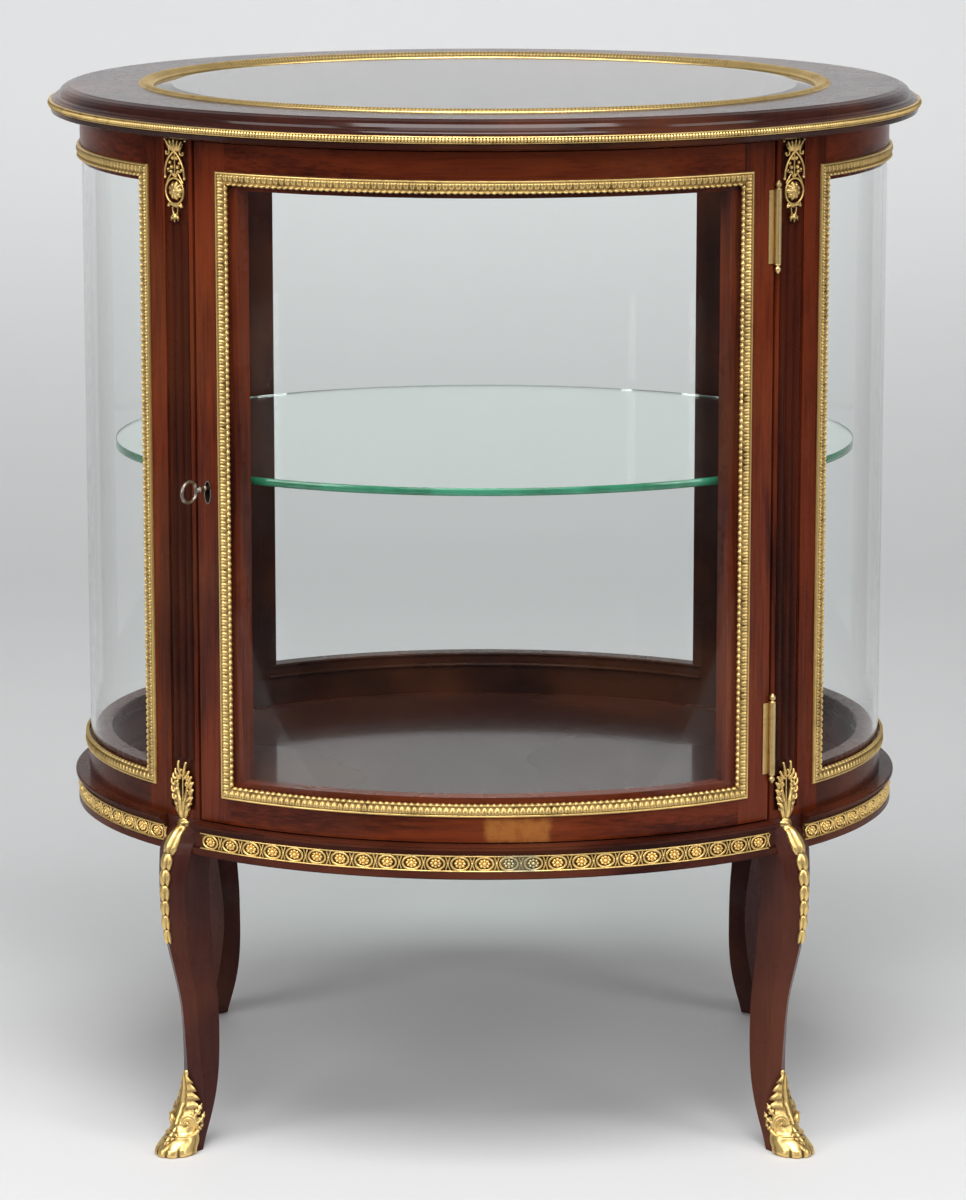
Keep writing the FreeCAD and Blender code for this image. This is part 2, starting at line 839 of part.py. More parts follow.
def leg_placement(corner):
    """A leg's own frame: x out along its arris, z up from the floor."""
    side, front = corner
    turn = math.radians(SIZES["leg_turn"])
    angle = math.degrees(math.atan2(front * math.cos(turn), side * math.sin(turn)))
    base = FreeCAD.Vector(side * SIZES["leg_x"], front * SIZES["leg_y"], 0)
    return FreeCAD.Placement(base, FreeCAD.Rotation(FreeCAD.Vector(0, 0, 1), angle))


def lofted(body, name, outlines, ruled=False):
    """A loft through polygons, each given as a height and its points."""
    sketches = []
    for number, (height, points) in enumerate(outlines):
        sketch = new_sketch(body, f"{name}_{number}", height)
        polygon(sketch, points)
        sketches.append(sketch)
    return loft(body, name, sketches, ruled)


def make_leg(name, corner):
    label = f"leg_{name}"
    body = new_body(label)
    sections = []
    for height, arris, wide, point, back in LEG_SECTIONS:
        side = arris - point
        sections.append((height, [(arris, 0), (side, wide), (back, wide), (back, -wide), (side, -wide)]))
    lofted(body, label + "_shaft", sections)
    half = dim("leg_block_width") / 2
    depth = dim("leg_block_depth")
    shoulders = []
    for height, arris in SHOULDER_SECTIONS:
        side = arris - SHOULDER_POINT
        points = [(arris, 0), (side, half), (-depth, half), (-depth, -half), (side, -half)]
        shoulders.append((height, points))
    lofted(body, label + "_shoulder", shoulders)
    block = new_sketch(body, label + "_block", dim("apron_foot"))
    polygon(block, [(0, -half), (0, half), (-depth, half), (-depth, -half)])
    pad(body, block, FOOT - dim("apron_foot"))
    body.Placement = leg_placement(corner)
    doc.recompute()
    return keep(body, label)


def make_knee_mount(name, corner, leg):
    """The leafy crown on the post, its neck, and the husk chain down the arris."""
    label = f"knee_mount_{name}"
    body = new_body(label)
    proud = 2.6
    for part, sections in (("chain", CHAIN_SECTIONS), ("neck", NECK_SECTIONS)):
        outlines = []
        for height, arris, half in sections:
            edge = arris - MOUNT_SLOPE * half
            points = [
                (arris + proud, 0),
                (edge + proud, half),
                (edge - 1, half),
                (arris - 3, 0),
                (edge - 1, -half),
                (edge + proud, -half),
            ]
            outlines.append((height, points))
        lofted(body, f"{label}_{part}", outlines)
    body.Placement = leg_placement(corner)
    doc.recompute()
    strip = boolean("Cut", label + "_strip", body, leg)
    return strip


def make_crown(name, corner, post):
    """The crown of leaves, a plate on the foot of the post's panel."""
    label = f"crown_{name}"
    body = new_body(label)
    foot = FOOT
    outline = [
        (-4.0, foot + 0.2),
        (4.0, foot + 0.2),
        (7.5, foot + 8),
        (10.5, foot + 22),
        (11.5, foot + 34),
        (8.5, foot + 42),
        (5.0, foot + 47),
        (4.0, foot + 52),
        (-4.0, foot + 52),
        (-5.0, foot + 47),
        (-8.5, foot + 42),
        (-11.5, foot + 34),
        (-10.5, foot + 22),
        (-7.5, foot + 8),
    ]
    plate = new_sketch(body, label + "_plate", -dim("panel_sink"), "YZ_Plane")
    polygon(plate, outline)
    pad(body, plate, 3.2 + dim("panel_sink"))
    body.Placement = panel_placement(corner)
    doc.recompute()
    return boolean("Cut", label + "_mount", body, post)


def panel_placement(corner):
    """A post panel's own frame: x straight out of it, z up from the floor."""
    side, front = corner
    turn = math.radians(SIZES["panel_turn"])
    normal = FreeCAD.Vector(side * math.sin(turn), front * math.cos(turn), 0)
    angle = math.degrees(math.atan2(normal.y, normal.x))
    place = math.radians(SIZES["panel_angle"])
    on_case = FreeCAD.Vector(
        side * SIZES["case_x"] * math.cos(place), front * SIZES["case_y"] * math.sin(place), 0
    )
    return FreeCAD.Placement(on_case, FreeCAD.Rotation(FreeCAD.Vector(0, 0, 1), angle))


def make_cap_mount(name, corner, post):
    """The pierced mount at a post's head: crown, lyre, oval boss and leafy drop."""
    label = f"cap_mount_{name}"
    body = new_body(label)
    head = SIZES["case_head"] - 0.5
    outline = [
        (-10, head),
        (10, head),
        (9, head - 9),
        (6, head - 13),
        (8, head - 18),
        (11, head - 28),
        (10.5, head - 34),
        (5, head - 36),
        (9.5, head - 44),
        (9.5, head - 51),
        (6, head - 58),
        (7.5, head - 61),
        (4.5, head - 66),
        (5, head - 73),
        (-5, head - 73),
        (-4.5, head - 66),
        (-7.5, head - 61),
        (-6, head - 58),
        (-9.5, head - 51),
        (-9.5, head - 44),
        (-5, head - 36),
        (-10.5, head - 34),
        (-11, head - 28),
        (-8, head - 18),
        (-6, head - 13),
        (-9, head - 9),
    ]
    plate = new_sketch(body, label + "_plate", -dim("panel_sink"), "YZ_Plane")
    polygon(plate, outline)
    pad(body, plate, 3.6 + dim("panel_sink"))
    body.Placement = panel_placement(corner)
    doc.recompute()
    return boolean("Cut", label + "_mount", body, post)


def make_paw(name, corner, leg):
    """The gilt paw that shoes the leg's outer faces."""
    label = f"paw_{name}"
    body = new_body(label)
    sketches = []
    for number, (height, middle, half_length, half_width) in enumerate(PAW_SECTIONS):
        sketch = new_sketch(body, f"{label}_{number}", height)
        oval(sketch, half_length, half_width, (middle, 0.0))
        sketches.append(sketch)
    loft(body, label + "_form", sketches)
    body.Placement = leg_placement(corner)
    doc.recompute()
    heel = doc.addObject("Part::Wedge", label + "_heel")
    heel.Xmin, heel.Xmax = -60, 8
    heel.X2min, heel.X2max = -60, -22
    heel.Ymin, heel.Ymax = -1, 80
    heel.Zmin, heel.Zmax = -40, 40
    heel.Z2min, heel.Z2max = -40, 40
    upright = FreeCAD.Placement(FreeCAD.Vector(), FreeCAD.Rotation(FreeCAD.Vector(1, 0, 0), 90))
    heel.Placement = leg_placement(corner) * upright
    doc.recompute()
    open_back = boolean("Cut", label + "_open", body, heel)
    return keep(boolean("Cut", label + "_shoe", open_back, leg), f"sabot_{name}")


def make_legs(posts):
    chains, caps = [], []
    for name, corner in CORNERS.items():
        leg = make_leg(name, corner)
        make_paw(name, corner, leg)
        chains.append(make_knee_mount(name, corner, leg))
        chains.append(make_crown(name, corner, posts[name]))
        caps.append(make_cap_mount(name, corner, posts[name]))
    keep(compound("knee_mount_set", chains), "knee_mounts")
    keep(compound("cap_mount_set", caps), "cap_mounts")


# ---------------------------------------------------------------- hinges


def hinge_placement(foot):
    """A hinge's own frame: z up its pin, x in through the gap, y towards the door."""
    angle = math.radians(SIZES["hinge_angle"])
    out = SIZES["hinge_stand"]
    x = (SIZES["case_x"] + out) * math.cos(angle)
    y = -(SIZES["case_y"] + out) * math.sin(angle)
    inward = math.degrees(math.atan2(math.sin(angle), -math.cos(angle)))
    return FreeCAD.Placement(
        FreeCAD.Vector(x, y, foot), FreeCAD.Rotation(FreeCAD.Vector(0, 0, 1), inward)
    )


def local(frame, x, y, z):
    """A frame moved along its own axes."""
    return frame * FreeCAD.Placement(FreeCAD.Vector(x, y, z), FreeCAD.Rotation())


def hinge_half(name, frame, knuckles, towards):
    """A leaf with its knuckles; towards is 1 for the door's and -1 for the post's."""
    height, thickness = dim("hinge_height"), dim("leaf_thickness")
    radius, reach = dim("knuckle_radius"), dim("leaf_reach")
    start = radius + 0.2
    side = 0.08 if towards > 0 else -0.08 - thickness.value
    pieces = [box(name + "_leaf", (reach - start, thickness, height), local(frame, start.value, side, 0))]
    for number, (low, high) in enumerate(knuckles):
        tube = cylinder(f"{name}_tube{number}", radius, high - low, local(frame, 0, 0, low))
        tab = box(f"{name}_tab{number}", (start + 0.3, thickness, high - low), local(frame, 0, side, low))
        pieces += [tube, tab]
    if towards > 0:
        face = frame * FreeCAD.Placement(
            FreeCAD.Vector(), FreeCAD.Rotation(FreeCAD.Vector(0, 0, 1), -SIZES["wing_turn"])
        )
        stand = SIZES["hinge_stand"] - 0.04
        fold = box(name + "_fold", (0.26, 2.0, height), local(face, stand - 0.26, 0.4, 0))
        wing = box(name + "_wing", (1.0, 6.4, height), local(face, stand - 1.0, 2.2, 0))
        pieces += [fold, wing]
    whole = doc.addObject("Part::MultiFuse", name + "_solid")
    whole.Shapes = pieces
    bore = cylinder(name + "_bore", dim("pin_radius") + dim("pin_play"), height, frame)
    return boolean("Cut", name + "_half", whole, bore)


def hinge_screws(name, frame, towards):
    """Three countersunk screws through a leaf into the wood beside it."""
    screws = []
    turn = FreeCAD.Placement(FreeCAD.Vector(), FreeCAD.Rotation(FreeCAD.Vector(1, 0, 0), -90 * towards))
    surface = 0.1 * towards
    for number, level in enumerate((0.15, 0.5, 0.85)):
        seat = local(frame, SIZES["screw_inset"], surface, level * SIZES["hinge_height"]) * turn
        head = doc.addObject("Part::Cone", f"{name}_head{number}")
        bind(head, "Radius1", dim("screw_head"))
        bind(head, "Radius2", dim("screw_radius"))
        bind(head, "Height", dim("leaf_thickness"))
        head.Placement = seat
        shank = cylinder(f"{name}_shank{number}", dim("screw_radius"), dim("screw_length"), seat)
        screw = doc.addObject("Part::MultiFuse", f"{name}_screw{number}")
        screw.Shapes = [head, shank]
        screws.append(screw)
    doc.recompute()
    return compound(name + "_screws", screws)


def make_hinges(post, stile):
    """Two hinges; the post and the stile are drilled for their screws."""
    fixed, moving, pins, post_screws, door_screws = [], [], [], [], []
    tall, low = SIZES["hinge_height"], SIZES["knuckle_height"]
    clear = 0.15
    for name in ("upper", "lower"):
        frame = hinge_placement(SIZES[f"{name}_hinge_foot"])
        post_knuckles = ((0.0, low), (tall - low, tall))
        door_knuckles = ((low + clear, tall - low - clear),)
        post_screws.append(hinge_screws(f"{name}_post", frame, -1))
        door_screws.append(hinge_screws(f"{name}_door", frame, 1))
        post_half = hinge_half(f"{name}_post", frame, post_knuckles, -1)
        door_half = hinge_half(f"{name}_door", frame, door_knuckles, 1)
        fixed.append(boolean("Cut", f"{name}_post_leaf", post_half, post_screws[-1]))
        moving.append(boolean("Cut", f"{name}_door_leaf", door_half, door_screws[-1]))
        post = boolean("Cut", f"{name}_drilled_post", post, post_screws[-1])
        stile = boolean("Cut", f"{name}_drilled_stile", stile, door_screws[-1])
        stem = cylinder(f"{name}_stem", dim("pin_radius"), dim("hinge_height") + 6, local(frame, 0, 0, -3))
        balls = [stem]
        for number, level in enumerate((-5.0, tall + 5.0)):
            ball = doc.addObject("Part::Sphere", f"{name}_ball{number}")
            bind(ball, "Radius", dim("finial_radius"))
            ball.Placement = local(frame, 0, 0, level)
            balls.append(ball)
            neck_foot = level if level < 0 else tall
            neck = cylinder(f"{name}_neck{number}", 2.0, 5.0, local(frame, 0, 0, neck_foot))
            balls.append(neck)
        pin = doc.addObject("Part::MultiFuse", f"{name}_pin")
        pin.Shapes = balls
        pins.append(pin)
    doc.recompute()
    keep(compound("post_leaves", fixed), "hinge_leaves_post")
    keep(compound("door_leaves", moving), "hinge_leaves_door")
    keep(compound("pins", pins), "hinge_pins")
    keep(compound("screws_post", post_screws), "hinge_screws_post")
    keep(compound("screws_door", door_screws), "hinge_screws_door")
    keep(post, "post_front_right")
    keep(stile, "door_stile_right")


# ---------------------------------------------------------------- lock and key


def lock_frame(x=0.0, y=0.0, z=0.0):
    """A place from the keyhole: x straight out of the door, y away from the post, z up."""
    angle, turn = math.radians(SIZES["lock_angle"]), math.radians(SIZES["lock_turn"])
    on_case = FreeCAD.Vector(SIZES["case_x"] * math.cos(angle), -SIZES["case_y"] * math.sin(angle), 0)
    out = math.degrees(math.atan2(-math.cos(turn), -math.sin(turn)))
    frame = FreeCAD.Placement(on_case, FreeCAD.Rotation(FreeCAD.Vector(0, 0, 1), out))
    return local(frame, x, y, z + SIZES["key_height"])


def bolt_box(name, play, start, length):
    """The bolt's block, or the way cut for it, from start along its travel."""
    thick = dim("bolt_thickness") + 2 * play
    tall = dim("bolt_height") + 2 * play
    corner = lock_frame(-SIZES["bolt_sink"] - thick.value + play, start, -tall.value / 2)
    return box(name, (thick, length, tall), corner)


def along_x(start):
    """A cylinder's axis laid along x, from start."""
    return FreeCAD.Placement(
        FreeCAD.Vector(start, 0, 0), FreeCAD.Rotation(FreeCAD.Vector(0, 1, 0), 90)
    )


def make_key():
    body = new_body("key")
    start, length, height = dim("bow_start"), dim("bow_length"), dim("bow_height")
    wall, thick = dim("bow_wall"), dim("bow_thickness")
    tip = dim("shank_tip")
    shank = new_sketch(body, "key_shank", -tip, "YZ_Plane")
    circle(shank, (0.0, 0.0), dim("shank_radius"))
    pad(body, shank, tip + start + 1)
    for number, (place, width, radius) in enumerate(((2.5, 2.0, 3.1), (11.0, 3.6, 3.4))):
        collar = new_sketch(body, f"key_collar{number}", place, "YZ_Plane")
        circle(collar, (0.0, 0.0), radius)
        pad(body, collar, width)
    bow = new_sketch(body, "key_bow", -thick / 2, "XZ_Plane")
    centre = (start + length / 2, 0.0)
    oval(bow, length / 2, height / 2, centre)
    oval(bow, length / 2 - wall, height / 2 - wall, centre)
    pad(body, bow, thick)
    bit = new_sketch(body, "key_bit", -dim("bit_thickness") / 2, "XZ_Plane")
    drop, long = -dim("bit_drop"), dim("bit_length")
    inner = -tip + 0.3
    polygon(bit, [(inner, drop), (inner + long, drop), (inner + long, 0.0), (inner, 0.0)])
    pad(body, bit, dim("bit_thickness"))
    body.Placement = lock_frame()
    doc.recompute()
    keep(body, "key")


def make_lock(stile):
    """The mortise lock with its bolt, keyhole lining and key."""
    sink, thickness = dim("lock_sink"), dim("lock_thickness")
    width, tall = dim("lock_width"), dim("lock_height")
    play = SIZES["bolt_play"]
    edge = -SIZES["lock_edge"]
    back = -sink.value - thickness.value
    keep(bolt_box("lock_bolt", 0, edge, dim("bolt_length")), "lock_bolt")
    chamber = bolt_box("bolt_way", play, edge - 8, dim("bolt_length") + 8.6)

    plate = box("lock_block", (thickness, width, tall), lock_frame(back, edge, -tall.value / 2))
    deep, key_play = SIZES["bit_chamber_depth"], SIZES["key_play"]
    reach = SIZES["bit_drop"] + key_play
    slot_half = SIZES["bit_thickness"] / 2 + key_play
    slot_size = (SIZES["bit_slot_length"], slot_half * 2, reach)
    chamber_length = SIZES["bit_length"] + 0.7
    shank_hole = dim("shank_radius") + key_play
    hollow = cylinder("key_chamber", reach, chamber_length, lock_frame() * along_x(-deep))
    keyway = cylinder("key_way", shank_hole, 12.0, lock_frame() * along_x(-deep))
    slot = box("key_slot", slot_size, lock_frame(-deep, -slot_half, -reach))
    case = plate
    for number, tool in enumerate((chamber, hollow, keyway, slot)):
        case = boolean("Cut", f"lock_case_cut{number}", case, tool)
    keep(case, "lock_case")

    lining = new_body("escutcheon")
    proud, wall = dim("escutcheon_proud"), dim("escutcheon_wall")
    drop, half, long = dim("keyhole_drop"), dim("keyhole_width"), dim("keyhole_length")
    rim = new_sketch(lining, "escutcheon_rim", -sink, "YZ_Plane")
    oval(rim, half, long, (0.0, -drop))
    oval(rim, half - wall, long - wall, (0.0, -drop))
    pad(lining, rim, sink + proud)
    lining.Placement = lock_frame()
    keep(lining, "escutcheon")
    hole = new_body("keyhole_cutter")
    outline = new_sketch(hole, "keyhole_outline", -sink, "YZ_Plane")
    oval(outline, half, long, (0.0, -drop))
    pad(hole, outline, sink + 3)
    hole.Placement = lock_frame()
    doc.recompute()

    mortise = box(
        "lock_mortise", (thickness + 4, width, tall), lock_frame(back - 4, edge, -tall.value / 2)
    )
    for number, tool in enumerate((mortise, chamber, hole)):
        stile = boolean("Cut", f"mortised_stile{number}", stile, tool)
    keep(stile, "door_stile_left")
    make_key()


# ---------------------------------------------------------------- everything


make_top()
make_top_glass()
corner_posts = make_posts()
for side_name, side_sign in SIDES.items():
    make_side(side_name, side_sign)
rear_stiles = make_face("rear", 1, dim("post_end"), FOOT, HEAD)
for side_name, rear_stile in rear_stiles.items():
    keep(rear_stile, f"rear_stile_{side_name}")
door_edge, door_play = dim("post_end") + dim("door_gap"), dim("door_clearance")
door_stiles = make_face("door", -1, door_edge, FOOT + door_play, HEAD - door_play)
make_lock(door_stiles["left"])
make_header()
make_shelf()
make_base()
make_legs(corner_posts)
make_hinges(corner_posts["front_right"], door_stiles["right"])

doc.recompute()
for thing in doc.Objects:
    if "Invalid" in thing.State or "Error" in thing.State:
        raise RuntimeError(f"{thing.Name} failed: {thing.State}")
os.makedirs("parts", exist_ok=True)
for thing in parts:
    shape = thing.Shape
    if shape.isNull() or not shape.isValid():
        raise RuntimeError(f"{thing.Label} has no valid shape")
    shape.exportStep(f"parts/{thing.Label}.step")
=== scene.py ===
"""The looks of an oval display cabinet: polished mahogany, bent glass and gilt mounts.

Ornament is laid out flat in millimetres, as a distance along the case, a height and how far it
stands out, and then bent round the oval. What belongs to a corner is made once, in the corner's
own frame, and set at all four.
"""

import math
from fnmatch import fnmatchcase

import bmesh
import bpy
import numpy as np
from bpy.props import FloatProperty, FloatVectorProperty, IntProperty, PointerProperty
from mathutils import Matrix, Vector


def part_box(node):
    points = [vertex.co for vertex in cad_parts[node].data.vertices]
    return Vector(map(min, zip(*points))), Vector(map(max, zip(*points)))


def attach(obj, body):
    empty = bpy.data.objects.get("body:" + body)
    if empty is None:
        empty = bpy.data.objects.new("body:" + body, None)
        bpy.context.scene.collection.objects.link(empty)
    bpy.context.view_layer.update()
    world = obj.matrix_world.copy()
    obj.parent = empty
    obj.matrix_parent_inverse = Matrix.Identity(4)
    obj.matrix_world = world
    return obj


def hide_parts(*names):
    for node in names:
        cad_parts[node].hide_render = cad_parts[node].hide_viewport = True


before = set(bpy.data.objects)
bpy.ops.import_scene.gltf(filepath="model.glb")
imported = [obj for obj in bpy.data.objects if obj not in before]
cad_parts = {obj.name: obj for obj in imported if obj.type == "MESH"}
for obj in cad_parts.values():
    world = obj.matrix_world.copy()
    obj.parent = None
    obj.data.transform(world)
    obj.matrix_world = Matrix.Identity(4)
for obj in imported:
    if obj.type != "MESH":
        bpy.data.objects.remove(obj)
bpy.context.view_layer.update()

bl_info = {
    "name": "Oval display cabinet",
    "version": (1, 0, 0),
    "blender": (4, 5, 0),
    "location": "3D View > Sidebar > Cabinet",
    "description": "Dresses an oval display cabinet's frame",
    "category": "Object",
}

MM = 0.001
# Half the case's length and half its depth at its outside, in millimetres.
CASE_REACH = (371.0, 291.0)
# The way out of a corner, in its own frame.
OUT = (1.0, 0.0, 0.0)
CORNERS = {
    "front_left": (-1, -1),
    "front_right": (1, -1),
    "rear_left": (-1, 1),
    "rear_right": (1, 1),
}
MIDDLES = {"front": -90.0, "right": 0.0, "rear": 90.0, "left": 180.0}


# ---------------------------------------------------------------- sizes and colours


def length(name, description, default):
    """A size in millimetres."""
    return FloatProperty(name=name, description=description, default=default, min=0.0)


def colour(name, description, default):
    """A linear colour."""
    return FloatVectorProperty(
        name=name, description=description, default=default, subtype="COLOR", size=3, min=0.0, max=1.0
    )


class CabinetSizes(bpy.types.PropertyGroup):
    """Sizes of the ornament, in millimetres."""

    leaf_pitch: length("Leaf pitch", "Length of one leaf of the glass frames", 5.6)
    frame_width: length("Frame width", "Width of the gilt frames round the glass", 12.5)
    pearl_pitch: length("Pearl pitch", "Length of one pearl of the top's gilt edge", 2.9)
    rib_pitch: length("Rib pitch", "Length of one rib of the ring round the top glass", 3.3)
    guilloche_pitch: length("Guilloche pitch", "Length of one cell of the friezes", 20.9)
    husk_length: length("Husk length", "Length of the first husk of a knee's chain", 14.6)
    husk_count: IntProperty(name="Husks", description="Husks in a knee's chain", default=6, min=1)


class CabinetColours(bpy.types.PropertyGroup):
    """Colours of the finishes."""

    mahogany: colour("Mahogany", "Polished mahogany where it is light", (0.150, 0.024, 0.006))
    mahogany_dark: colour("Mahogany figure", "The dark of mahogany's figure", (0.030, 0.004, 0.002))
    post_wood: colour("Post wood", "The darker mahogany of the posts", (0.135, 0.021, 0.006))
    post_wood_dark: colour("Post figure", "The dark of the posts' figure", (0.022, 0.004, 0.002))
    # the top's tone also darkens the rear uprights and rails as painted shade
    top_wood: colour("Top wood", "The dark mahogany of the top", (0.032, 0.007, 0.004))
    top_wood_dark: colour("Top figure", "The dark of the top's figure", (0.011, 0.003, 0.002))
    faded: colour("Faded wood", "The pale mend on the door's lower rail", (0.350, 0.130, 0.030))
    worn_gilt: colour("Worn gilding", "The greyed stretch of the front frieze", (0.420, 0.400, 0.270))
    # painted shade: a darker copy of the mahogany for the aprons and the ends' lower rails, which lie low in
    # shadow
    shaded: colour("Shaded wood", "Mahogany of the aprons and the ends' lower rails", (0.070, 0.015, 0.008))
    shaded_dark: colour("Shaded figure", "The dark of their figure", (0.020, 0.004, 0.002))
    leg_wood: colour("Leg wood", "The browner wood of the legs", (0.062, 0.019, 0.015))
    leg_wood_dark: colour("Leg figure", "The dark of the legs' figure", (0.036, 0.010, 0.008))
    gilt: colour("Gilt", "Burnished gilding", (0.900, 0.640, 0.245))
    # gilt hollows: dirt in the gilding's hollows, and also painted shade in its creases, gaps and undersides
    gilt_dark: colour("Gilt hollows", "The dirt and wear in the gilding's hollows", (0.100, 0.048, 0.016))
    brass: colour("Aged brass", "Hinges and pegs", (0.780, 0.570, 0.260))
    brass_dark: colour("Brass tarnish", "Tarnish on the hinges", (0.120, 0.070, 0.030))
    steel: colour("Key steel", "Key and lock", (0.300, 0.260, 0.220))
    steel_dark: colour("Key rust", "The brown in the key's steel", (0.110, 0.080, 0.055))
    pane: colour("Pane", "Tint of the bent panes", (0.968, 0.988, 0.980))
    top_pane: colour("Top pane", "Tint of the bevelled top glass", (0.930, 0.955, 0.945))
    shelf: colour("Shelf", "Tint of the shelf's glass", (0.880, 0.950, 0.915))
    # shelf edge: the glass's green tint, and painted glow of light carried along the pane
    shelf_edge: colour("Shelf edge", "Green of the shelf's edge", (0.014, 0.130, 0.060))
    backdrop: colour("Backdrop", "Floor and backdrop", (0.800, 0.800, 0.800))


# ---------------------------------------------------------------- meshes


class Sheet:
    """Points and faces gathered from several pieces of surface, with how hollow each point is."""

    def __init__(self):
        self.points, self.faces, self.hollows, self.count = [], [], [], 0

    def add(self, points, faces, hollows=None):
        points = np.asarray(points, float).reshape(-1, 3)
        self.points.append(points)
        self.faces.append(np.asarray(faces, int) + self.count)
        self.hollows.append(np.zeros(len(points)) if hollows is None else np.ravel(hollows))
        self.count += len(points)

    def add_grid(self, grid, hollows=None, round_rows=False, round_columns=False):
        """A grid of points, rows by columns, as quads."""
        rows, columns = grid.shape[:2]
        self.add(grid, grid_faces(rows, columns, round_rows, round_columns), hollows)

    def bent(self, bend):
        """A copy with its points changed by a function."""
        copy = Sheet()
        copy.points = [bend(points) for points in self.points]
        copy.faces, copy.hollows, copy.count = list(self.faces), list(self.hollows), self.count
        return copy

    def moved(self, matrix):
        """A copy with its points moved by a 4 by 4 matrix."""
        turn, shift = np.array(matrix)[:3, :3], np.array(matrix)[:3, 3]
        copy = self.bent(lambda points: points @ turn.T + shift)
        if np.linalg.det(turn) < 0:
            copy.faces = [faces[:, ::-1] for faces in copy.faces]
        return copy

    def join(self, other):
        self.points += other.points
        self.faces += [faces + self.count for faces in other.faces]
        self.hollows += other.hollows
        self.count += other.count


def grid_faces(rows, columns, round_rows, round_columns):
    numbers = np.arange(rows * columns).reshape(rows, columns)
    if round_rows:
        numbers = np.vstack([numbers, numbers[:1]])
    if round_columns:
        numbers = np.hstack([numbers, numbers[:, :1]])
    corners = numbers[:-1, :-1], numbers[:-1, 1:], numbers[1:, 1:], numbers[1:, :-1]
    return np.stack(corners, axis=-1).reshape(-1, 4)


def make_piece(name, sheet, finish, body, nodes=(), merge=0.0):
    """A mesh object from a sheet in metres, with a named finish, riding on a body."""
    mesh = bpy.data.meshes.new(name)
    points = np.vstack(sheet.points)
    faces = [face.tolist() for block in sheet.faces for face in block]
    mesh.from_pydata(points.tolist(), [], faces)
    hollow = mesh.attributes.new("hollow", "FLOAT", "POINT")
    hollow.data.foreach_set("value", np.concatenate(sheet.hollows).astype(np.float32))
    if merge:
        work = bmesh.new()
        work.from_mesh(mesh)
        bmesh.ops.remove_doubles(work, verts=work.verts, dist=merge)
        bmesh.ops.dissolve_degenerate(work, edges=work.edges, dist=merge * 0.5)
        work.to_mesh(mesh)
        work.free()
    mesh.polygons.foreach_set("use_smooth", [True] * len(mesh.polygons))
    mesh.materials.append(bpy.data.materials[finish])
    piece = bpy.data.objects.new(name, mesh)
    bpy.context.scene.collection.objects.link(piece)
    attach(piece, body)
    if nodes:
        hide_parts(*nodes)
    return piece


class Oval:
    """The case's outside: places on it by distance along it, in millimetres."""

    def __init__(self, semi_x, semi_y):
        self.semi_x, self.semi_y = semi_x, semi_y
        self.angles = np.linspace(-360.0, 360.0, 14401)
        turns = np.radians(self.angles)
        steps = np.hypot(np.diff(semi_x * np.cos(turns)), np.diff(semi_y * np.sin(turns)))
        self.along = np.concatenate([[0.0], np.cumsum(steps)])
        self.around = self.along[-1] / 2

    def distance(self, start, end):
        """The length from one angle to another."""
        first, last = np.interp([start, end], self.angles, self.along)
        return last - first

    def bend(self, along, out, up, middle):
        """Points from flat ones: along the case from a middle angle, out of it, and up."""
        base = np.interp(middle, self.angles, self.along)
        turn = np.radians(np.interp(base + along, self.along, self.angles))
        normal = np.stack([np.cos(turn) / self.semi_x, np.sin(turn) / self.semi_y], axis=-1)
        normal /= np.linalg.norm(normal, axis=-1, keepdims=True)
        x = self.semi_x * np.cos(turn) + out * normal[..., 0]
        y = self.semi_y * np.sin(turn) + out * normal[..., 1]
        return np.stack([x, y, up], axis=-1) * MM

    def lay(self, sheet, along, out, up, middle):
        """A flat sheet laid on the case, after a shift along it, out of it and up."""
        return sheet.bent(lambda flat: self.bend(*(flat + [along, out, up]).T, middle))


CASE = Oval(*CASE_REACH)


def all_round(count):
    """Evenly spread angles, all the way round."""
    return np.linspace(0, 2 * math.pi, count, endpoint=False)


def ridge(value, middle, width):
    """1 at a middle, and less and less to either side of it."""
    return np.exp(-(((value - middle) / width) ** 2))


def half_round(place):
    """How high a half circle is over a place from -1 to 1."""
    return np.sqrt(np.clip(1 - place**2, 0, 1))


def on_hand(hand, points):
    """Points, (across, up) or (out, across, up), on one hand, 1, or the other, -1."""
    return [(*point[:-2], hand * point[-2], point[-1]) for point in points]


def smoothstep(low, high, value):
    part = np.clip((value - low) / (high - low), 0.0, 1.0)
    return part * part * (3 - 2 * part)


def curve_through(points, count):
    """Evenly spread points on a smooth curve through the given ones."""
    points = np.asarray(points, float)
    padded = np.vstack([2 * points[0] - points[1], points, 2 * points[-1] - points[-2]])
    made = []
    for before, start, end, after in zip(padded[:-3], padded[1:-2], padded[2:-1], padded[3:]):
        for part in np.linspace(0, 1, 24, endpoint=False):
            linear = (end - before) * part
            square = (2 * before - 5 * start + 4 * end - after) * part**2
            cube = (3 * start - before - 3 * end + after) * part**3
            made.append(0.5 * (2 * start + linear + square + cube))
    made.append(points[-1])
    made = np.array(made)
    steps = np.concatenate([[0], np.cumsum(np.linalg.norm(np.diff(made, axis=0), axis=1))])
    places = np.linspace(0, steps[-1], count)
    return np.stack([np.interp(places, steps, made[:, axis]) for axis in range(3)], axis=-1)


def unit(vectors):
    return vectors / np.maximum(np.linalg.norm(vectors, axis=-1, keepdims=True), 1e-9)


def tube(path, radius, facing=OUT, sides=8, closed=False):
    """A round bar along a path. Its radius may vary, and facing turns its sides."""
    path = np.asarray(path, float)
    if closed:
        along = unit(np.roll(path, -1, axis=0) - np.roll(path, 1, axis=0))
    else:
        along = unit(np.gradient(path, axis=0))
    facing = np.broadcast_to(np.asarray(facing, float), path.shape)
    across = unit(np.cross(facing, along))
    out = unit(np.cross(along, across))
    radius = np.broadcast_to(np.asarray(radius, float), len(path))[:, None, None]
    turns = all_round(sides)[None, :, None]
    ring = across[:, None] * np.cos(turns) + out[:, None] * np.sin(turns)
    grid = path[:, None] + ring * radius
    sheet = Sheet()
    sheet.add_grid(grid, round_rows=closed, round_columns=True)
    return sheet


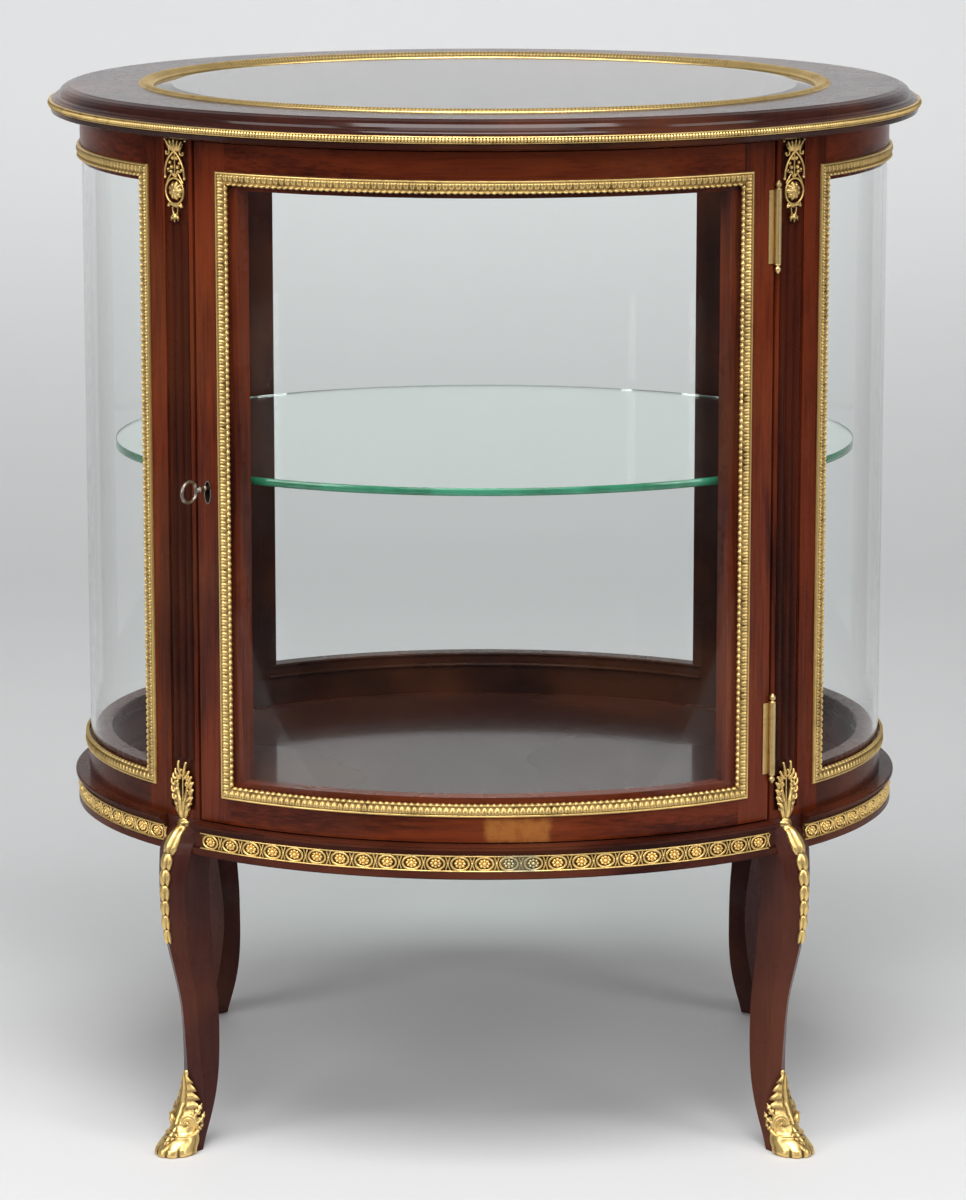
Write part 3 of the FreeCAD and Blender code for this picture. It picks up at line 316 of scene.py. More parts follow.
def dome(centre, facing, radii, rings=4, sides=12, lobes=0, lobe_depth=0.0):
    """A low boss on a plane that faces one way, with lobes like a flower's petals if asked."""
    facing = unit(np.asarray(facing, float))
    up = np.array([0.0, 0.0, 1.0]) if abs(facing[2]) < 0.9 else np.array([1.0, 0.0, 0.0])
    across = unit(np.cross(up, facing))
    up = np.cross(facing, across)
    wide, tall, proud = radii
    turns = all_round(sides)
    grid, hollows = [], []
    for ring in range(rings + 1):
        tilt = ring / rings * math.pi / 2
        reach = math.cos(tilt) * (1 + lobe_depth * np.cos(lobes * turns) * math.cos(tilt))
        point = (
            np.outer(np.cos(turns) * reach * wide, across)
            + np.outer(np.sin(turns) * reach * tall, up)
            + facing * proud * math.sin(tilt)
        )
        grid.append(np.asarray(centre, float) + point)
        hollows.append(smoothstep(-0.2, -1.0, np.cos(lobes * turns)) * (0.5 if lobes else 0.0))
    sheet = Sheet()
    sheet.add_grid(np.array(grid), np.array(hollows), round_columns=True)
    return sheet


def leaf(spine, facing, width, lobes, notch, crown, rib, curl=0.0, thick=1.0, count=None):
    """A pointed leaf along a spine: lobed edges, a middle rib and veins, and a tip that curls out."""
    count = count or 8 * lobes + 1
    path = curve_through(spine, count)
    along = unit(np.gradient(path, axis=0))
    facing = np.broadcast_to(np.asarray(facing, float), path.shape)
    side = unit(np.cross(facing, along))
    out = unit(np.cross(along, side))
    place = np.linspace(0, 1, count)
    half = np.interp(place, np.linspace(0, 1, len(width)), width)
    wave = (place * lobes) % 1.0
    half = half * (1 - notch * wave**1.5 * smoothstep(1.0, 0.9, place))
    half[-1] = 0.02
    across = np.linspace(-1, 1, 13)
    lag = np.abs(across) * 0.35 / max(lobes, 1)
    veins = np.cos((place[:, None] - lag[None, :]) * lobes * 2 * math.pi)
    swell = crown * (1 - across[None, :] ** 2) * half[:, None]
    midrib = rib * ridge(across[None, :], 0.0, 0.16) * smoothstep(1.0, 0.6, place)[:, None]
    ripple = 0.10 * half[:, None] * veins * smoothstep(0.1, 0.5, np.abs(across))[None, :]
    lift = swell + midrib + ripple + curl * place[:, None] ** 3
    front = path[:, None] + side[:, None] * (across[None, :, None] * half[:, None, None])
    front = front + out[:, None] * lift[..., None]
    back = front - out[:, None] * thick
    hollow = np.clip(0.55 - 0.5 * veins, 0, 1) * smoothstep(0.05, 0.5, np.abs(across))[None, :]
    sheet = Sheet()
    ring = np.concatenate([front, back[:, ::-1]], axis=1)
    # painted shade: the leaf's back is all hollow, so it is dark
    shade = np.concatenate([hollow, np.ones_like(hollow)], axis=1)
    sheet.add_grid(ring, shade, round_columns=True)
    return sheet


def scroll(start, turns, reach, hand, depth, thick, count):
    """A volute about the origin of a corner's frame: y sideways, z up, x out."""
    part = np.linspace(0, 1, count)
    angle = start + hand * turns * 2 * math.pi * part
    radius = reach * (1 - part * 0.85)
    path = np.stack([depth * part, radius * np.cos(angle), radius * np.sin(angle)], axis=-1)
    bar = tube(path, thick * (1 - 0.35 * part))
    bar.join(dome(path[-1] - [0.2, 0, 0], OUT, (thick * 1.2, thick * 1.2, thick * 1.1), 3, 10))
    return bar


# ---------------------------------------------------------------- materials


PORES = (0.010, 0.003, 0.002, 1.0)
WARM_CLOUDS = (0.24, 0.070, 0.025, 1.0)
# painted shade that darkens the posts' recessed panels
PAINTED_PANEL_SHADE = (0.012, 0.004, 0.003, 1.0)
# painted highlights on the shelf's edge
PAINTED_EDGE_HIGHLIGHT = (0.045, 0.260, 0.150, 1.0)
BUMP_DEPTH = 0.0003
PANE_IOR, GLASS_IOR = 1.22, 1.45
# The case's mean radius in metres, which turns an angle round it into a length.
MEAN_RADIUS = 0.33
SURFACE = ("Color", "Height", "Roughness")
MAHOGANY, BOARD = "Mahogany figure", "Board figure"
# Scales of each figure along and across the grain, its broad streaks' detail, roughness and
# distortion, the fine streaks' share, how dark its pores are, and the polish's smears.
FIGURES = {
    MAHOGANY: {
        "broad": (2.2, 16.0),
        "streaks": (5.0, 0.6, 0.8),
        "pores": (60.0, 1500.0),
        "share": 0.3,
        "darkest": 0.45,
        "smears": (22.0, 4.0),
    },
    BOARD: {
        "broad": (1.0, 5.0),
        "streaks": (2.0, 0.55, 0.0),
        "pores": (24.0, 260.0),
        "share": 0.06,
        "darkest": 0.02,
        "smears": (4.0, 1.0),
    },
}
# Wooden finishes: the tone, 1 where the grain runs round the case or 0 where it runs upright, and the coat.
WOODS = {
    "Upright mahogany": ("mahogany", 0.0, 0.25),
    "Bent mahogany": ("mahogany", 1.0, 0.15),
    "Leg mahogany": ("leg_wood", 0.0, 0.10),
    "Post mahogany": ("post_wood", 0.0, 0.08),
    "Top mahogany": ("top_wood", 1.0, 0.5),
    "Door rail mahogany": ("mahogany", 1.0, 0.15),
    # painted shade for the aprons and lower rails
    "Shaded mahogany": ("shaded", 1.0, 0.10),
    # painted shade: the rear uprights and rails, seen inside the case, take the top's darker tone
    "Rear upright mahogany in painted shade": ("top_wood", 0.0, 0.10),
    "Rear bent mahogany in painted shade": ("top_wood", 1.0, 0.10),
    "Floor board": ("leg_wood", 0.0, 0.6),
}
# Metal finishes: the tone, how stained it is and how fine its grain is.
METALS = {
    "Gilt": ("gilt", 0.28, 900.0),
    "Gilt of the front frieze": ("gilt", 0.28, 900.0),
    "Aged brass": ("brass", 0.35, 700.0),
    "Worn steel": ("steel", 0.8, 600.0),
}
# A CAD node's finish is the first whose pattern its name fits.
NODE_FINISHES = (
    ("post_*", "Post mahogany"),
    ("rear_stile*", "Rear upright mahogany in painted shade"),
    ("rear_rail*", "Rear bent mahogany in painted shade"),
    ("apron_*", "Shaded mahogany"),
    ("rail_foot_*", "Shaded mahogany"),
    ("*stile*", "Upright mahogany"),
    ("door_rail_foot", "Door rail mahogany"),
    ("top_frame", "Top mahogany"),
    ("*rail*", "Bent mahogany"),
    ("door_header", "Bent mahogany"),
    ("floor_board", "Floor board"),
    ("leg_*", "Leg mahogany"),
    ("top_glass", "Top glass"),
    ("shelf_glass", "Shelf glass"),
    ("top_glass_ring", "Gilt"),
    ("*glass*", "Bent glass"),
    ("key", "Worn steel"),
    ("lock_bolt", "Worn steel"),
    ("lock_case", "Worn steel"),
    ("escutcheon", "Worn steel"),
    ("hinge*", "Aged brass"),
    ("shelf_pegs", "Aged brass"),
    ("*", "Gilt"),
)
# Where two patches of another colour lie along x and z, and half their size, in metres.
MEND = {"Across": 0.029, "Half width": 0.030, "Up": 0.3245, "Half height": 0.0125}
GREYED_STRETCH = {"Across": 0.031, "Half width": 0.017, "Up": 0.2967, "Half height": 0.012}


def set_inputs(node, values):
    """Sets a node's inputs, by name or number: to a number or a colour, or by a link from a socket."""
    for key, value in values.items():
        if isinstance(value, bpy.types.NodeSocket):
            node.id_data.links.new(value, node.inputs[key])
        else:
            node.inputs[key].default_value = value


def add_node(tree, kind, values=None, **settings):
    """A shader node with its settings and its inputs."""
    node = tree.nodes.new("ShaderNode" + kind)
    for name, value in settings.items():
        setattr(node, name, value)
    set_inputs(node, values or {})
    return node


def add_group(tree, name, values):
    return add_node(tree, "Group", values, node_tree=bpy.data.node_groups[name])


def new_group(name, inputs, outputs):
    """A shader group: its tree, its inputs' node and its outputs' node.

    An input without a default is a colour, and so is an output called Color.
    """
    tree = bpy.data.node_groups.new(name, "ShaderNodeTree")
    for label, default in inputs.items():
        kind = "NodeSocketColor" if default is None else "NodeSocketFloat"
        socket = tree.interface.new_socket(label, in_out="INPUT", socket_type=kind)
        if default is not None:
            socket.default_value = default
    for label in outputs:
        kind = "NodeSocketColor" if label == "Color" else "NodeSocketFloat"
        tree.interface.new_socket(label, in_out="OUTPUT", socket_type=kind)
    return tree, tree.nodes.new("NodeGroupInput"), tree.nodes.new("NodeGroupOutput")


def math_node(tree, operation, *values, clamp=False):
    node = add_node(tree, "Math", dict(enumerate(values)), operation=operation, use_clamp=clamp)
    return node.outputs[0]


def times(tree, first, second):
    return math_node(tree, "MULTIPLY", first, second)


def plus(tree, first, second, clamp=False):
    return math_node(tree, "ADD", first, second, clamp=clamp)


def minus(tree, first, second):
    return math_node(tree, "SUBTRACT", first, second)


def mix_colour(tree, factor, first, second):
    # a mix node's colours are its inputs 6 and 7
    values = {"Factor": factor, 6: first, 7: second}
    return add_node(tree, "Mix", values, data_type="RGBA").outputs[2]


def noise(tree, vector, scale, detail, roughness, distortion=0.0):
    values = {"Vector": vector, "Scale": scale, "Detail": detail, "Roughness": roughness}
    return add_node(tree, "TexNoise", {**values, "Distortion": distortion}).outputs["Fac"]


def ramp(tree, value, low, high):
    """Rises smoothly from 0 to 1 as a value goes from low to high."""
    values = {"Value": value, "From Min": low, "From Max": high}
    return add_node(tree, "MapRange", values, interpolation_type="SMOOTHSTEP").outputs["Result"]


def object_place(tree):
    """The place on the object in metres."""
    return add_node(tree, "TexCoord").outputs["Object"]


def axes_of(tree, place):
    return add_node(tree, "SeparateXYZ", {0: place}).outputs


def with_alpha(colour):
    return (*colour, 1.0)


def wood_figure(name):
    """Figured wood. Round is 1 where the grain runs round the case and 0 where it runs upright.

    A board's grain runs straight along x.
    """
    figure = FIGURES[name]
    tree, given, out = new_group(name, {"Light": None, "Dark": None, "Round": 0.0}, SURFACE)
    place = object_place(tree)
    x, y, z = axes_of(tree, place)
    if name == BOARD:
        long, short, depth = x, y, z
    else:
        turn = math_node(tree, "ARCTAN2", times(tree, y, CASE_REACH[0] / CASE_REACH[1]), x)
        around = times(tree, turn, MEAN_RADIUS)
        depth = math_node(tree, "SQRT", plus(tree, times(tree, x, x), times(tree, y, y)))
        along = given.outputs["Round"]
        across = minus(tree, 1.0, along)
        long = plus(tree, times(tree, around, along), times(tree, z, across))
        short = plus(tree, times(tree, z, along), times(tree, around, across))

    def stretched(scale_long, scale_short):
        axes = ((long, scale_long), (short, scale_short), (depth, scale_short))
        scaled = {number: times(tree, *axis) for number, axis in enumerate(axes)}
        return add_node(tree, "CombineXYZ", scaled).outputs[0]

    broad = noise(tree, stretched(*figure["broad"]), 1.0, *figure["streaks"])
    fine = noise(tree, stretched(14.0, 420.0), 1.0, 3.0, 0.6)
    pores = noise(tree, stretched(*figure["pores"]), 1.0, 2.0, 0.5)
    cloud = noise(tree, place, 5.0, 3.0, 0.5)
    smear = noise(tree, place, *figure["smears"], 0.6)
    share = figure["share"]
    streak = ramp(tree, plus(tree, times(tree, broad, 1.0 - share), times(tree, fine, share)), 0.35, 0.62)
    base = mix_colour(tree, streak, given.outputs["Dark"], given.outputs["Light"])
    fleck = ramp(tree, pores, 0.66, 0.74)
    flecked = mix_colour(tree, times(tree, fleck, figure["darkest"]), base, PORES)
    warmth = times(tree, ramp(tree, cloud, 0.42, 0.66), 0.22)
    values = {
        "Color": mix_colour(tree, warmth, flecked, WARM_CLOUDS),
        "Height": minus(tree, times(tree, fine, 0.4), times(tree, fleck, 0.6)),
        "Roughness": plus(tree, 0.20, times(tree, smear, 0.16)),
    }
    set_inputs(out, values)


def patch_mask():
    """A soft-edged rectangle on the front of the case, at a place along x and z."""
    inputs = {"Across": 0.0, "Half width": 0.02, "Up": 0.3, "Half height": 0.01}
    tree, given, out = new_group("Patch", inputs, ["Mask"])
    place = object_place(tree)
    axes = axes_of(tree, place)
    ragged = times(tree, noise(tree, place, 70.0, 4.0, 0.6), 0.012)
    parts = []
    for axis, middle, half in ((0, "Across", "Half width"), (2, "Up", "Half height")):
        away = math_node(tree, "ABSOLUTE", minus(tree, axes[axis], given.outputs[middle]))
        beyond = minus(tree, plus(tree, away, ragged), given.outputs[half])
        parts.append(ramp(tree, beyond, 0.0075, 0.0015))
    on_front = ramp(tree, axes[1], -0.280, -0.284)
    cloudy = ramp(tree, noise(tree, place, 110.0, 5.0, 0.7), 0.30, 0.58)
    thin = plus(tree, 0.55, times(tree, cloudy, 0.45))
    whole = times(tree, times(tree, *parts), on_front)
    set_inputs(out, {"Mask": times(tree, whole, thin)})


def lay_over(material, strength, colour):
    """Lays a colour over what feeds a finish's base colour."""
    shader = material.node_tree.nodes["Principled BSDF"]
    under = shader.inputs["Base Color"].links[0].from_socket
    set_inputs(shader, {"Base Color": mix_colour(material.node_tree, strength, under, colour)})


def add_patch(material, colour, place):
    """Lays a differently coloured patch over a finish."""
    tree = material.node_tree
    mask = add_group(tree, "Patch", place).outputs["Mask"]
    lay_over(material, times(tree, mask, 0.85), with_alpha(colour))


def shade_panels(material):
    """Paints shade into the posts' sunk panels: their mahogany is darker where the panel lies recessed."""
    tree = material.node_tree
    axes = axes_of(tree, object_place(tree))
    squares = []
    for axis, middle in enumerate(PANEL_PLACE):
        away = minus(tree, math_node(tree, "ABSOLUTE", axes[axis]), middle * MM)
        squares.append(times(tree, away, away))
    inside = ramp(tree, math_node(tree, "SQRT", plus(tree, *squares)), 0.0148, 0.0136)
    above = ramp(tree, axes[2], 0.318, 0.324)
    lay_over(material, times(tree, times(tree, inside, above), 0.62), PAINTED_PANEL_SHADE)


def metal_wear_and_shade():
    """Worn and shaded metal: bright on what stands out, dark in the hollows, with stains. The hollows' dark
    is partly dirt and partly painted shade.
    """
    inputs = {"Bright": None, "Dark": None, "Stains": 0.3, "Grain": 700.0}
    tree, given, out = new_group("Worn and shaded metal", inputs, SURFACE)
    place = object_place(tree)
    hollow = add_node(tree, "Attribute", attribute_name="hollow").outputs["Fac"]
    stains = given.outputs["Stains"]
    spots = times(tree, ramp(tree, noise(tree, place, 90.0, 5.0, 0.65), 0.48, 0.70), stains)
    blotches = ramp(tree, noise(tree, place, 14.0, 3.0, 0.5), 0.45, 0.65)
    # the hollows' dark is partly dirt and partly painted shade
    dirt_and_hollow_shade = plus(tree, spots, times(tree, hollow, 0.85), clamp=True)
    dirt_and_hollow_shade = plus(tree, dirt_and_hollow_shade, times(tree, blotches, times(tree, stains, 0.6)), clamp=True)
    grain = add_node(tree, "VectorMath", {0: place, "Scale": given.outputs["Grain"]}, operation="SCALE")
    values = {
        "Color": mix_colour(tree, dirt_and_hollow_shade, given.outputs["Bright"], given.outputs["Dark"]),
        "Height": noise(tree, grain.outputs[0], 1.0, 3.0, 0.6),
        "Roughness": plus(tree, 0.33, times(tree, dirt_and_hollow_shade, 0.34)),
    }
    set_inputs(out, values)


def new_material(name):
    material = bpy.data.materials.new(name)
    material.use_nodes = True
    return material, material.node_tree, material.node_tree.nodes["Principled BSDF"]


def add_bump(tree, shader, height, strength):
    bump = add_node(tree, "Bump", {"Strength": strength, "Distance": BUMP_DEPTH, "Height": height})
    set_inputs(shader, {"Normal": bump.outputs["Normal"]})


def wood(name, light, dark, round_case, coat, figure_name):
    material, tree, shader = new_material(name)
    grain = {"Light": with_alpha(light), "Dark": with_alpha(dark), "Round": round_case}
    figure = add_group(tree, figure_name, grain)
    values = {
        "Base Color": figure.outputs["Color"],
        "Roughness": figure.outputs["Roughness"],
        "Specular IOR Level": 0.06,
        "Coat Weight": coat,
        "Coat Roughness": 0.10,
        "Coat IOR": 1.5,
    }
    set_inputs(shader, values)
    if figure_name == MAHOGANY:
        add_bump(tree, shader, figure.outputs["Height"], 0.04)
    return material


def metal(name, bright, dark, stains, grain):
    material, tree, shader = new_material(name)
    worn = {"Bright": with_alpha(bright), "Dark": with_alpha(dark), "Stains": stains, "Grain": grain}
    wear = add_group(tree, "Worn and shaded metal", worn)
    values = {"Base Color": wear.outputs["Color"], "Roughness": wear.outputs["Roughness"], "Metallic": 1.0}
    set_inputs(shader, values)
    add_bump(tree, shader, wear.outputs["Height"], 0.15)
    return material


def mix_shaders(output, factor, first, second):
    """Feeds an output node's surface with a mix of two shaders."""
    mix = add_node(output.id_data, "MixShader", {"Fac": factor, 1: first, 2: second})
    set_inputs(output, {"Surface": mix.outputs["Shader"]})


def glass(name, tint, ior=GLASS_IOR):
    """Clear glass that lets the lamps' light through to what is behind it."""
    _, tree, shader = new_material(name)
    tint = with_alpha(tint)
    set_inputs(shader, {"Base Color": tint, "Roughness": 0.0, "IOR": ior, "Transmission Weight": 1.0})
    clear = add_node(tree, "BsdfTransparent", {"Color": tint})
    path = add_node(tree, "LightPath")
    either = math_node(tree, "MAXIMUM", path.outputs["Is Shadow Ray"], path.outputs["Is Diffuse Ray"])
    mix_shaders(tree.nodes["Material Output"], either, shader.outputs["BSDF"], clear.outputs["BSDF"])


def green_edge(name, green):
    """The cut edge of plate glass: its green is partly the glass's tint and partly painted glow of light
    carried along the pane, and its paler clouds are painted highlights.
    """
    _, tree, shader = new_material(name)
    cloudy = ramp(tree, noise(tree, object_place(tree), 14.0, 4.0, 0.6), 0.35, 0.70)
    shade = mix_colour(tree, cloudy, with_alpha(green), PAINTED_EDGE_HIGHLIGHT)
    set_inputs(shader, {"Base Color": shade, "Roughness": 0.16, "Coat Weight": 0.6})


class CABINET_OT_finishes(bpy.types.Operator):
    """Make the finishes and put them on the frame's own parts"""

    bl_idname = "cabinet.finishes"
    bl_label = "Finishes"

    def execute(self, context):
        tones = context.scene.cabinet_colours
        for name in FIGURES:
            wood_figure(name)
        metal_wear_and_shade()
        patch_mask()
        made = {}
        for name, (tone, round_case, coat) in WOODS.items():
            figure = BOARD if name == "Floor board" else MAHOGANY
            light, dark = getattr(tones, tone), getattr(tones, tone + "_dark")
            made[name] = wood(name, light, dark, round_case, coat, figure)
        for name, (tone, stains, grain) in METALS.items():
            made[name] = metal(name, getattr(tones, tone), getattr(tones, tone + "_dark"), stains, grain)
        shade_panels(made["Post mahogany"])
        add_patch(made["Door rail mahogany"], tones.faded, MEND)
        add_patch(made["Gilt of the front frieze"], tones.worn_gilt, GREYED_STRETCH)
        glass("Bent glass", tones.pane, PANE_IOR)
        glass("Top glass", tones.top_pane)
        glass("Shelf glass", tones.shelf)
        green_edge("Shelf edge", tones.shelf_edge)
        for node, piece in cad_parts.items():
            finish = next(finish for pattern, finish in NODE_FINISHES if fnmatchcase(node, pattern))
            piece.data.materials.clear()
            piece.data.materials.append(bpy.data.materials[finish])
        return {"FINISHED"}


# ---------------------------------------------------------------- gilt frames round the glass


# A frame's section at its full width: places across it from its outer edge, and how far it stands out.
SECTION_WIDTH = 12.5
SECTION_PLACES = (0.0, 0.25, 0.9, 1.9, 2.4, 2.8, 3.3, 5.5, 8.6, 9.3, 9.8, 11.1, 12.2, 12.5)
SECTION_HEIGHTS = (0.3, 2.2, 3.0, 3.0, 2.1, 1.7, 2.6, 2.5, 1.5, 1.0, 1.3, 1.9, 1.2, 0.2)
# Where a frame's mesh has its points: across the outer moulding and the leaves, and then the pearls.
ROWS_ACROSS = (0, 0.25, 0.9, 1.4, 1.9, 2.4, 2.8, 3.3, 4.2, 5.1, 6.0, 7.0, 8.0, 9.0)
ROWS_ACROSS += (9.6, 10.2, 11.0, 11.7, 12.2, 12.5)


def leaf_band(along, across, pitch):
    """How far a glass frame stands out, and how hollow it is, at a place on its strip."""
    out = np.interp(across, SECTION_PLACES, SECTION_HEIGHTS)
    phase = (along / pitch + 0.5) % 1.0 - 0.5
    between = (along / pitch) % 1.0 - 0.5
    part = np.clip((across - 2.9) / 6.3, 0, 1)
    half = 0.47 * np.cos(part * math.pi / 2) ** 0.55 + 0.03 * np.cos(part * 18)
    inside = smoothstep(0.02, -0.10, np.abs(phase) - half) * (part > 0) * (part < 1)
    out = out + inside * (1.15 - 1.6 * phase**2) - inside * 0.55 * ridge(phase, 0.0, 0.07)
    pearl = np.clip(1 - (between / 0.44) ** 2 - ((across - 11.0) / 1.55) ** 2, 0, 1)
    out = out + 1.5 * np.sqrt(pearl) * (across > 9.4)
    hollow = (1 - inside) * smoothstep(2.3, 2.9, across) * smoothstep(9.9, 9.4, across)
    gap = (1 - smoothstep(0.0, 0.25, pearl)) * (across > 9.5) * (across < 12.4)
    hollow = np.maximum(hollow * 0.75, gap * 0.65)
    hollow = np.maximum(hollow, ridge(across, 2.6, 0.25))
    hollow = np.maximum(hollow, inside * 0.6 * ridge(phase, 0.0, 0.07))
    return out, hollow


def glass_frame(half_length, foot, head, middle, sizes):
    """A mitred gilt frame, bent onto the case."""
    width, pitch = sizes.frame_width, sizes.leaf_pitch
    across = np.array(ROWS_ACROSS) * width / SECTION_WIDTH
    corners = ((-half_length, foot), (half_length, foot), (half_length, head), (-half_length, head))
    sheet = Sheet()
    for (x0, z0), (x1, z1) in zip(corners, corners[1:] + corners[:1]):
        reach = math.hypot(x1 - x0, z1 - z0)
        forward = np.array([x1 - x0, z1 - z0]) / reach
        inward = np.array([-forward[1], forward[0]])
        leaves = round(reach / pitch)
        columns = np.linspace(0, reach, leaves * 8 + 1)
        along, over = np.meshgrid(columns, across, indexing="ij")
        along = np.clip(along, over, reach - over)
        step = reach / leaves
        out, hollow = leaf_band(along, over * SECTION_WIDTH / width, step)
        notch = 0.5 + 0.5 * np.cos(2 * math.pi * along / step)
        drawn = over - 0.9 * notch * (over / width) ** 8
        flat_x = x0 + forward[0] * along + inward[0] * drawn
        flat_z = z0 + forward[1] * along + inward[1] * drawn
        sheet.add_grid(CASE.bend(flat_x, out, flat_z, middle), hollow)
    return sheet


# Each frame's side, the angle from that side's middle to its end, and its body.
GLASS_FRAMES = {
    "door_bead": ("front", 90.0 - 50.9, "door"),
    "rear_bead": ("rear", 90.0 - 50.9, "case"),
    "bead_left": ("left", 37.2, "case"),
    "bead_right": ("right", 37.2, "case"),
}


def half_length(side, reach):
    """The case's length from a side's middle to an angle from it."""
    return CASE.distance(MIDDLES[side], MIDDLES[side] + reach)


class CABINET_OT_glass_frames(bpy.types.Operator):
    """Make the gilt leaf-and-pearl frames round the panes"""

    bl_idname = "cabinet.glass_frames"
    bl_label = "Glass frames"

    def execute(self, context):
        sizes = context.scene.cabinet_sizes
        for node, (side, reach, body) in GLASS_FRAMES.items():
            low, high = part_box(node)
            sheet = glass_frame(half_length(side, reach), low.z / MM, high.z / MM, MIDDLES[side], sizes)
            make_piece("gilt_frame_" + node, sheet, "Gilt", body, [node], merge=0.00002)
        return {"FINISHED"}


# ---------------------------------------------------------------- bands round the whole oval


COLUMNS_PER_UNIT = 6
# How far the pearl band's ground lies inside its node, the ring's width and how high its ribs stand.
BAND_DEPTH, RING_WIDTH, RIB_RISE = 4.0, 14.0, 0.75


def round_band(semi_x, semi_y, pitch, section, pattern):
    """A band round an oval. section gives (outset, height) points; pattern lifts them."""
    oval = Oval(semi_x, semi_y)
    units = round(oval.around / pitch)
    along = np.linspace(0, oval.around, units * COLUMNS_PER_UNIT, endpoint=False)
    outset, height = np.array(section).T
    run, _ = np.meshgrid(along, outset, indexing="ij")
    place = np.arange(len(outset)) / (len(outset) - 1)
    lift_out, lift_up, hollow = pattern(run / oval.around * units, place[None, :])
    sheet = Sheet()
    sheet.add_grid(oval.bend(run, outset + lift_out, height + lift_up, 0.0), hollow, round_rows=True)
    return sheet


def pearl_pattern(units, place):
    """Pearls between two thin fillets."""
    phase = units % 1.0 - 0.5
    over = (place - 0.5) / 0.26
    pearl = np.sqrt(np.clip(1 - (phase / 0.46) ** 2 - over**2, 0, 1))
    hollow = (1 - smoothstep(0.1, 0.6, pearl)) * (np.abs(place - 0.5) < 0.30)
    return pearl * 1.3, np.zeros_like(pearl), hollow


def rib_pattern(units, place):
    """Slanting ribs across a rounded ring, with plain edges."""
    phase = (units + place * 0.6) % 1.0 - 0.5
    inside = smoothstep(0.14, 0.3, place) * smoothstep(0.9, 0.74, place)
    rib = half_round(phase / 0.5) * inside
    hollow = inside * smoothstep(0.32, 0.5, np.abs(phase))
    return np.zeros_like(rib), rib * RIB_RISE, hollow


class CABINET_OT_top_bands(bpy.types.Operator):
    """Make the gilt pearl band of the top's edge and the ribbed ring round the top glass"""

    bl_idname = "cabinet.top_bands"
    bl_label = "Top bands"

    def execute(self, context):
        sizes = context.scene.cabinet_sizes
        low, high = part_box("top_edge_bead")
        foot, head = low.z / MM, high.z / MM
        middle = (foot + head) / 2
        fillet = ((0.2, 0.0), (2.0, 0.1), (2.8, 0.6), (2.7, 1.2), (2.2, 1.6), (2.4, 2.1))
        edge = [(out, foot + up) for out, up in fillet]
        edge += [(2.6, middle - 0.6), (2.6, middle), (2.6, middle + 0.6)]
        edge += [(out, head - down) for out, down in reversed(fillet)]
        semi_x, semi_y = high.x / MM - BAND_DEPTH, high.y / MM - BAND_DEPTH
        band = round_band(semi_x, semi_y, sizes.pearl_pitch, edge, pearl_pattern)
        make_piece("pearl_band", band, "Gilt", "case", ["top_edge_bead"])
        low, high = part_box("top_glass_ring")
        seat, crown = low.z / MM, high.z / MM - RIB_RISE
        inner = ((0.0, 0.0), (0.1, 1.0), (0.8, 1.6), (1.8, 1.7), (2.2, 1.3), (3.2, 2.6))
        outer = ((5.0, 0.9), (6.8, 0.3), (8.6, 0.0), (10.2, 0.4), (11.6, 1.4), (12.1, 2.0))
        outer += ((12.9, 1.6), (13.7, 1.9), (13.9, 3.0))
        ring = [(out, seat + up) for out, up in inner]
        ring += [(out, crown - down) for out, down in outer]
        ring.append((RING_WIDTH, seat))
        semi_x, semi_y = high.x / MM - RING_WIDTH, high.y / MM - RING_WIDTH
        ribs = round_band(semi_x, semi_y, sizes.rib_pitch, ring, rib_pattern)
        make_piece("ribbed_ring", ribs, "Gilt", "case", ["top_glass_ring"])
        return {"FINISHED"}


# ---------------------------------------------------------------- friezes and sills


# Each frieze's side, and the angle from that side's middle to its end.
FRIEZES = {
    "frieze_front": ("front", 42.1),
    "frieze_rear": ("rear", 42.1),
    "frieze_left": ("left", 40.6),
    "frieze_right": ("right", 40.6),
}
# How far out a frieze's seat lies, and its rails on it: out, and half their depth and height.
FRIEZE_SEAT = 7.6
RAIL_OUT, RAIL_DEPTH, RAIL_HEIGHT = 1.4, 1.3, 0.85
# The small steps inside the lower rails: how far inside the case, height and radius.
SILL_BEADS = ((20.4, 351.6, 1.4), (20.9, 341.0, 2.0))
SILL_REACH = 37.0


def guilloche_cell(pitch, tall):
    """One cell of the band, flat: x along, y out, z up from the band's middle.

    It is a flower in a ring, tied to the next cell's.
    """
    sheet = Sheet()
    forward = (0, 1, 0)
    rise = tall / 2 - 1.9
    turns = all_round(32)
    ring = np.stack([7.7 * np.cos(turns), 1.4 + 0.4 * np.sin(2 * turns), rise * np.sin(turns)], axis=-1)
    sheet.join(tube(ring, 1.0, forward, closed=True))
    for turn in all_round(8):
        petal = (3.7 * math.cos(turn), 0.5, 3.1 * math.sin(turn))
        sheet.join(dome(petal, forward, (1.75, 1.6, 2.1), 3, 8))
    sheet.join(dome((0, 0.7, 0), forward, (2.4, 2.1, 3.0)))
    for hand in (-1, 1):
        tie = [(pitch / 2 - 1.9, 1.1, hand * rise), (pitch / 2 + 1.9, 1.5, -hand * rise)]
        sheet.join(tube(tie, 0.7, forward, 6))
    sheet.join(dome((pitch / 2, 1.0, 0), forward, (1.2, 1.4, 1.4), 3, 10))
    return sheet


def bar_along(sheet, side, run, out, up, depth, height):
    """Adds a bar along the case: how far out and up it lies, and half its depth and height."""
    along, turn = np.meshgrid(run, all_round(8), indexing="ij")
    grid = CASE.bend(along, out + depth * np.cos(turn), up + height * np.sin(turn), MIDDLES[side])
    sheet.add_grid(grid, round_columns=True)


